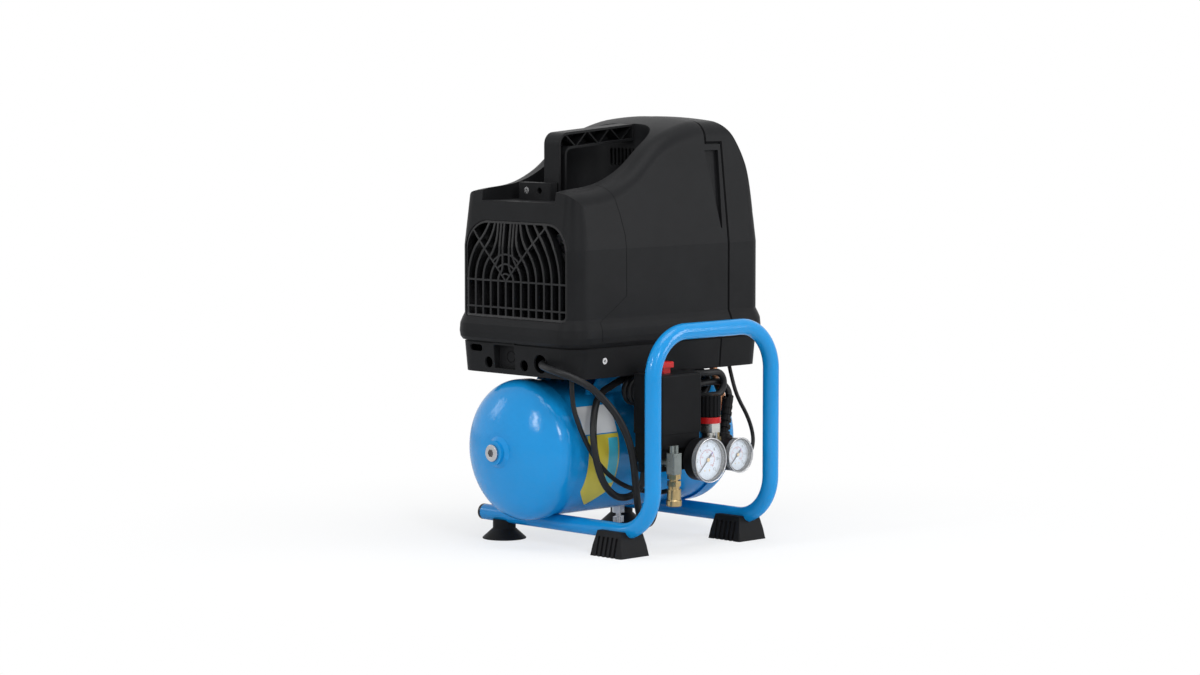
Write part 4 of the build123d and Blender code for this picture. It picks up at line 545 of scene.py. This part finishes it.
# %% Draw strokes round a dial
Gauge = namedtuple("Gauge", "name pointer x z scale_radius cap_radius")
gauges = (
    Gauge("tank_gauge", "tank_pointer", -0.004, 0.113, scale_radius=0.0240, cap_radius=0.0275),
    Gauge("line_gauge", "line_pointer", 0.049, 0.115, scale_radius=0.0185, cap_radius=0.0220))
print_y, scale_start, scale_sweep = -0.14108, 225.0, 270.0


def face_front(x, z, y=print_y):
    """A flat drawing's place on a gauge: its up is +Z and it looks out of the front."""
    return Matrix.Translation((x, y, z)) @ Matrix.Rotation(math.pi / 2, 4, "X")


def stroke_scale(bm, place, radius, count, every, long_stroke, short_stroke, width):
    """Strokes round a dial, a long one at every few."""
    for k in range(count + 1):
        angle = math.radians(scale_start - scale_sweep * k / count)
        is_long = k % every == 0
        tall = long_stroke if is_long else short_stroke
        broad = width * 1.5 if is_long else width
        bmesh.ops.create_grid(
            bm, x_segments=1, y_segments=1, size=0.5,
            matrix=place @ Matrix.Rotation(angle, 4, "Z")
            @ Matrix.Translation((radius - tall / 2, 0, 0))
            @ Matrix.Diagonal((tall, broad, 1, 1)))


def sweep_band(bm, place, radius, width):
    """A thin ring that follows the scale."""
    turn = Matrix.Rotation(math.radians(scale_start), 4, "Z")
    ends = [bm.verts.new(place @ (turn @ Vector((r, 0, 0)))) for r in (radius, radius + width)]
    edge = bm.edges.new(ends)
    bmesh.ops.spin(
        bm, geom=[edge, *ends], cent=place.translation, axis=place.to_3x3() @ Vector((0, 0, 1)),
        dvec=(0, 0, 0), angle=-math.radians(scale_sweep), steps=48, use_merge=False)


print("gauges:", [gauge.name for gauge in gauges])

# %% [markdown]
# The numbers are text made into a mesh, then moved into place without turning, so that they stay
# upright. Sizes are shares of the scale's radius, so both gauges use the same drawing.

# %% Print the dials
scale_black = make_finish(
    "scale_black", (0.03, 0.03, 0.035), 0.5, spread=0.05, grain=1500, depth=0.00001)
scale_red = make_finish(
    "scale_red", (0.5, 0.03, 0.03), 0.5, spread=0.05, grain=1500, depth=0.00001)


def print_numbers(bm, place, radius, size, values):
    """Numbers round a dial, upright, from the scale's start to its end."""
    for k, value in enumerate(values):
        angle = math.radians(scale_start - scale_sweep * k / (len(values) - 1))
        text = bpy.data.curves.new("number", "FONT")
        text.body, text.size = str(value), size
        text.align_x = text.align_y = "CENTER"
        letters = bpy.data.objects.new("number", text)
        flat = bpy.data.meshes.new_from_object(letters)
        flat.transform(
            place @ Matrix.Translation((radius * math.cos(angle), radius * math.sin(angle), 0)))
        bm.from_mesh(flat)
        bpy.data.meshes.remove(flat)
        bpy.data.objects.remove(letters)
        bpy.data.curves.remove(text)


for gauge in gauges:
    place, unit = face_front(gauge.x, gauge.z), gauge.scale_radius
    bm = bmesh.new()
    stroke_scale(
        bm, place, unit * 0.97, count=60, every=10, long_stroke=unit * 0.13,
        short_stroke=unit * 0.07, width=unit * 0.013)
    print_numbers(bm, place, unit * 0.72, size=unit * 0.22, values=(0, 2, 4, 6, 8, 10, 12))
    finish_piece(f"{gauge.name}_scale", bm, scale_black)
    bm = bmesh.new()
    sweep_band(bm, place, unit * 0.5, width=unit * 0.02)
    stroke_scale(
        bm, place, unit * 0.56, count=36, every=4, long_stroke=unit * 0.07,
        short_stroke=unit * 0.04, width=unit * 0.013)
    print_numbers(bm, place, unit * 0.4, size=unit * 0.13, values=(0, 40, 80, 120, 160))
    finish_piece(f"{gauge.name}_inner_scale", bm, scale_red)
    print(gauge.name, "printed")

# %% [markdown]
# A pointer sits on a brass-coloured hub and has a short violet tail beyond it. Both turn with
# the pointer, so they ride on its body. The hub is a small turned button: a disc with its edge
# bevelled.

# %% Add hubs and tails
hub_gold = make_finish(
    "hub_gold", (0.72, 0.5, 0.2), 0.28, metal=1.0, spread=0.05, patch=80, grain=1500,
    depth=0.00001)
tail_violet = make_finish(
    "tail_violet", (0.16, 0.02, 0.32), 0.4, spread=0.05, grain=1500, depth=0.00001)
hub_y, hub_thick, tail_y, tail_thick = -0.1429, 0.001, -0.1420, 0.0005
turn = Matrix.Rotation(math.radians(scale_start), 4, "Z")
for gauge in gauges:
    unit = gauge.scale_radius
    bm = bmesh.new()
    bmesh.ops.create_cone(
        bm, cap_ends=True, segments=32, radius1=unit * 0.1, radius2=unit * 0.1, depth=hub_thick,
        matrix=face_front(gauge.x, gauge.z, hub_y))
    rims = [edge for edge in bm.edges if edge.calc_face_angle() > 1]
    bmesh.ops.bevel(
        bm, geom=rims, offset=hub_thick / 4, segments=2, profile=0.5, affect="EDGES", material=-1)
    finish_piece(f"{gauge.name}_hub", bm, hub_gold, gauge.pointer)
    bm = bmesh.new()
    bmesh.ops.create_cube(
        bm, size=1, matrix=face_front(gauge.x, gauge.z, tail_y) @ turn
        @ Matrix.Translation((-unit * 0.3, 0, 0))
        @ Matrix.Diagonal((unit * 0.44, unit * 0.07, tail_thick, 1)))
    bmesh.ops.bevel(
        bm, geom=bm.edges[:], offset=tail_thick / 5, segments=1, profile=0.5, affect="EDGES",
        material=-1)
    finish_piece(f"{gauge.name}_tail", bm, tail_violet, gauge.pointer)
    print(gauge.name, "hub and tail on", gauge.pointer)

# %% [markdown]
# Each clear cap ends in a bright edge, which is what the eye reads as the bezel. It is a small
# square section spun once round the gauge's axis, with its corners broken. Two rivets hold the
# dial, below the pointer's hub.

# %% Edge the caps
edge_y, edge_width, edge_inset, edge_round = -0.1474, 0.0014, 0.0006, 0.0004
rivet_thick = 0.0004
for gauge in gauges:
    x, z, radius = gauge.x, gauge.z, gauge.cap_radius
    bm = bmesh.new()
    bmesh.ops.create_grid(
        bm, x_segments=1, y_segments=1, size=0.5,
        matrix=Matrix.Translation((x + radius - edge_inset, edge_y, z))
        @ Matrix.Diagonal((edge_width, edge_width, 1, 1)))
    bmesh.ops.bevel(
        bm, geom=bm.verts[:], offset=edge_round, segments=3, profile=0.5, affect="VERTICES",
        material=-1)
    section = bm.edges[:]
    bmesh.ops.delete(bm, geom=bm.faces[:], context="FACES_ONLY")
    bmesh.ops.spin(
        bm, geom=[*bm.verts, *section], cent=(x, 0, z), axis=(0, 1, 0), dvec=(0, 0, 0),
        angle=2 * math.pi, steps=72, use_merge=True)
    finish_piece(f"{gauge.name}_bezel", bm, bright_steel)
    bm = bmesh.new()
    for side in (-1, 1):
        bmesh.ops.create_cone(
            bm, cap_ends=True, segments=20, radius1=radius * 0.04, radius2=radius * 0.03,
            depth=rivet_thick, matrix=face_front(x + side * radius * 0.15, z - radius * 0.48))
    finish_piece(f"{gauge.name}_rivets", bm, hub_gold)
    print(gauge.name, "edged")

# %% [markdown]
# ## Lines on the housing
# A fine dark line on the front shows where two slides of the mould met, and a bolder one is
# painted shade along the seam of the cowls, where the end cowl's edge falls away. Each is a
# narrow
# ribbon: a chain of edges drawn off the cowl, divided, widened, and dropped back onto it, so that
# it follows the leaning walls, the crown and the flared skirt.

# %% Draw the mould line
# The same dark finish also paints the shade along the cowls' seam.
mould_line_and_seam_shade = make_finish(
    "mould_line_and_seam_shade", (0.003, 0.003, 0.0034), 0.6, spread=0.1, grain=1500, depth=0.00001,
    Specular_IOR_Level=0.02)
ribbon_lift, ribbon_thick = 0.00006, 0.00004


def draw_chain(points):
    """A mesh of edges from point to point."""
    chain = bmesh.new()
    verts = [chain.verts.new(point) for point in points]
    for pair in zip(verts, verts[1:]):
        chain.edges.new(pair)
    return chain


def lay_ribbon(bm, cowl, chain, widen, core_z=None):
    """Adds a ribbon along a chain, dropped onto a cowl along Y or towards a height inside it."""
    bmesh.ops.subdivide_edges(chain, edges=chain.edges[:], cuts=31)
    ribbon = bmesh.ops.extrude_edge_only(chain, edges=chain.edges[:])["geom"]
    bmesh.ops.translate(chain, verts=corners_of(ribbon), vec=widen)
    missed = []
    for vert in chain.verts:
        fall = 0 if core_z is None else core_z - vert.co.z
        hit, where, normal, _ = cowl.ray_cast(vert.co, (0, -vert.co.y, fall))
        if hit:
            vert.co = where + normal * ribbon_lift
        else:
            missed.append(vert)
    bmesh.ops.delete(chain, geom=missed, context="VERTS")
    bmesh.ops.solidify(chain, geom=chain.faces[:], thickness=ribbon_thick)
    sheet = bpy.data.meshes.new("ribbon")
    chain.to_mesh(sheet)
    chain.free()
    bm.from_mesh(sheet)
    bpy.data.meshes.remove(sheet)


off_cowl, mould_width = 0.2, 0.0006
mould_points = (
    (-0.0899, 0.4485), (-0.0846, 0.4374), (-0.0763, 0.4128), (-0.0704, 0.3883),
    (-0.0697, 0.364), (-0.0696, 0.314), (-0.0911, 0.299), (-0.1165, 0.2834), (-0.1169, 0.2605))
bm = bmesh.new()
lay_ribbon(
    bm, solids["main_cowl"], draw_chain((x, -off_cowl, z) for x, z in mould_points),
    widen=(mould_width, 0, 0))
mould_line = finish_piece("mould_line", bm, mould_line_and_seam_shade)
print("mould line:", len(mould_line.data.polygons), "faces")

# %% [markdown]
# The seam's shadow is painted shade: a dark strip on the end cowl beside the gap, where its edge
# falls away. The seam runs up each side, steps back below the crown and goes over the top. The
# chain over the top is one point spun round the middle of the cowl, and it drops towards that
# middle.

# %% Draw the seam's shadow
foot_z, bend_z, crease_z, step_z = 0.2555, 0.3, 0.372, 0.4975
top_x, low_x, seam_width = 0.0835, 0.1115, 0.0018
arch_z, arch_radius, arch_start, arch_sweep = 0.45, 0.3, math.radians(41), math.radians(98)
bm = bmesh.new()
for y in (-off_cowl, off_cowl):
    side_chain = draw_chain((low_x, y, z) for z in (foot_z, bend_z, crease_z, step_z))
    lay_ribbon(bm, solids["end_cowl"], side_chain, widen=(seam_width, 0, 0))
    step_chain = draw_chain((x, y, step_z) for x in (top_x, low_x + seam_width))
    lay_ribbon(bm, solids["end_cowl"], step_chain, widen=(0, 0, seam_width))
top_chain = bmesh.new()
spring = top_chain.verts.new((
    top_x, -arch_radius * math.cos(arch_start), arch_z + arch_radius * math.sin(arch_start)))
bmesh.ops.spin(
    top_chain, geom=[spring], cent=(top_x, 0, arch_z), axis=(1, 0, 0), dvec=(0, 0, 0),
    angle=-arch_sweep, steps=24, use_merge=False)
lay_ribbon(bm, solids["end_cowl"], top_chain, widen=(seam_width, 0, 0), core_z=arch_z)
# This ribbon is painted shade along the seam, in the same dark finish as the mould line.
seam_shadow = finish_piece("seam_shadow", bm, mould_line_and_seam_shade)
print("seam shadow:", len(seam_shadow.data.polygons), "faces")

# %% [markdown]
# ## Blank stickers
# Two plain stickers sit on the tank's front, a white one above a yellow one with a pointed lower
# end. A sticker is a line along the tank that is spun round the tank's axis, so it follows the
# sheet exactly. Two planes cut the point, and a wall of two tenths of a millimetre lets its edge
# catch the light. Nothing is printed on it but a plain band of colour at the side.

# %% Stick the stickers
sticker_white = make_finish(
    "sticker_white", (0.75, 0.76, 0.77), 0.35, spread=0.03, patch=40, grain=500, depth=0.00002)
sticker_yellow = make_finish(
    "sticker_yellow", (0.7, 0.58, 0.06), 0.35, spread=0.04, patch=40, grain=500, depth=0.00002)
sticker_cyan = make_finish(
    "sticker_cyan", (0.06, 0.5, 0.68), 0.35, spread=0.04, patch=40, grain=500, depth=0.00002)
tank_axis = Vector((0, 0.0455, 0.121))


def on_tank(x, angle, radius):
    """A point round the tank's axis; the angle is in degrees from the back, over the top."""
    return tank_axis + Matrix.Rotation(math.radians(angle), 3, "X") @ Vector((x, radius, 0))


def stick(name, left, right, high, low, finish, point=0.0, radius=0.0851, sheet=0.0002):
    """A blank sticker between two places and two angles, with a point below if asked."""
    bm = bmesh.new()
    ends = [bm.verts.new(on_tank(x, high, radius)) for x in (left, right)]
    edge = bm.edges.new(ends)
    bmesh.ops.spin(
        bm, geom=[edge, *ends], cent=tank_axis, axis=(1, 0, 0), dvec=(0, 0, 0),
        angle=math.radians(low + point - high), steps=32, use_merge=False)
    if point:
        tip = on_tank((left + right) / 2, low + point, radius)
        for x, side in ((left, 1), (right, -1)):
            corner = on_tank(x, low, radius)
            across = (tip - corner).cross(tip - tank_axis.lerp(tip, 0.5)) * side
            bmesh.ops.bisect_plane(
                bm, geom=[*bm.verts, *bm.edges, *bm.faces], plane_co=corner, plane_no=across,
                clear_outer=True)
    bmesh.ops.recalc_face_normals(bm, faces=bm.faces)
    middle = sum((f.calc_center_median() for f in bm.faces), Vector()) / len(bm.faces)
    sample = min(bm.faces, key=lambda f: (f.calc_center_median() - middle).length)
    if sample.normal.dot(middle - tank_axis) < 0:
        bmesh.ops.reverse_faces(bm, faces=bm.faces[:])
    bmesh.ops.solidify(bm, geom=bm.faces[:], thickness=-sheet)
    sticker = finish_piece(name, bm, finish)
    print(sticker.name, len(sticker.data.polygons), "faces")


stick("sticker_upper", -0.1125, -0.0565, high=139.5, low=164.5, finish=sticker_white)
stick("sticker_lower", -0.1075, -0.0555, high=165.5, low=215, finish=sticker_yellow, point=19.5)
stick("sticker_band", -0.0735, -0.0575, high=169, low=209, finish=sticker_cyan, radius=0.08535,
      sheet=0.0001)

# %% [markdown]
# ## The last look

# %% Update the scene
bpy.context.view_layer.update()
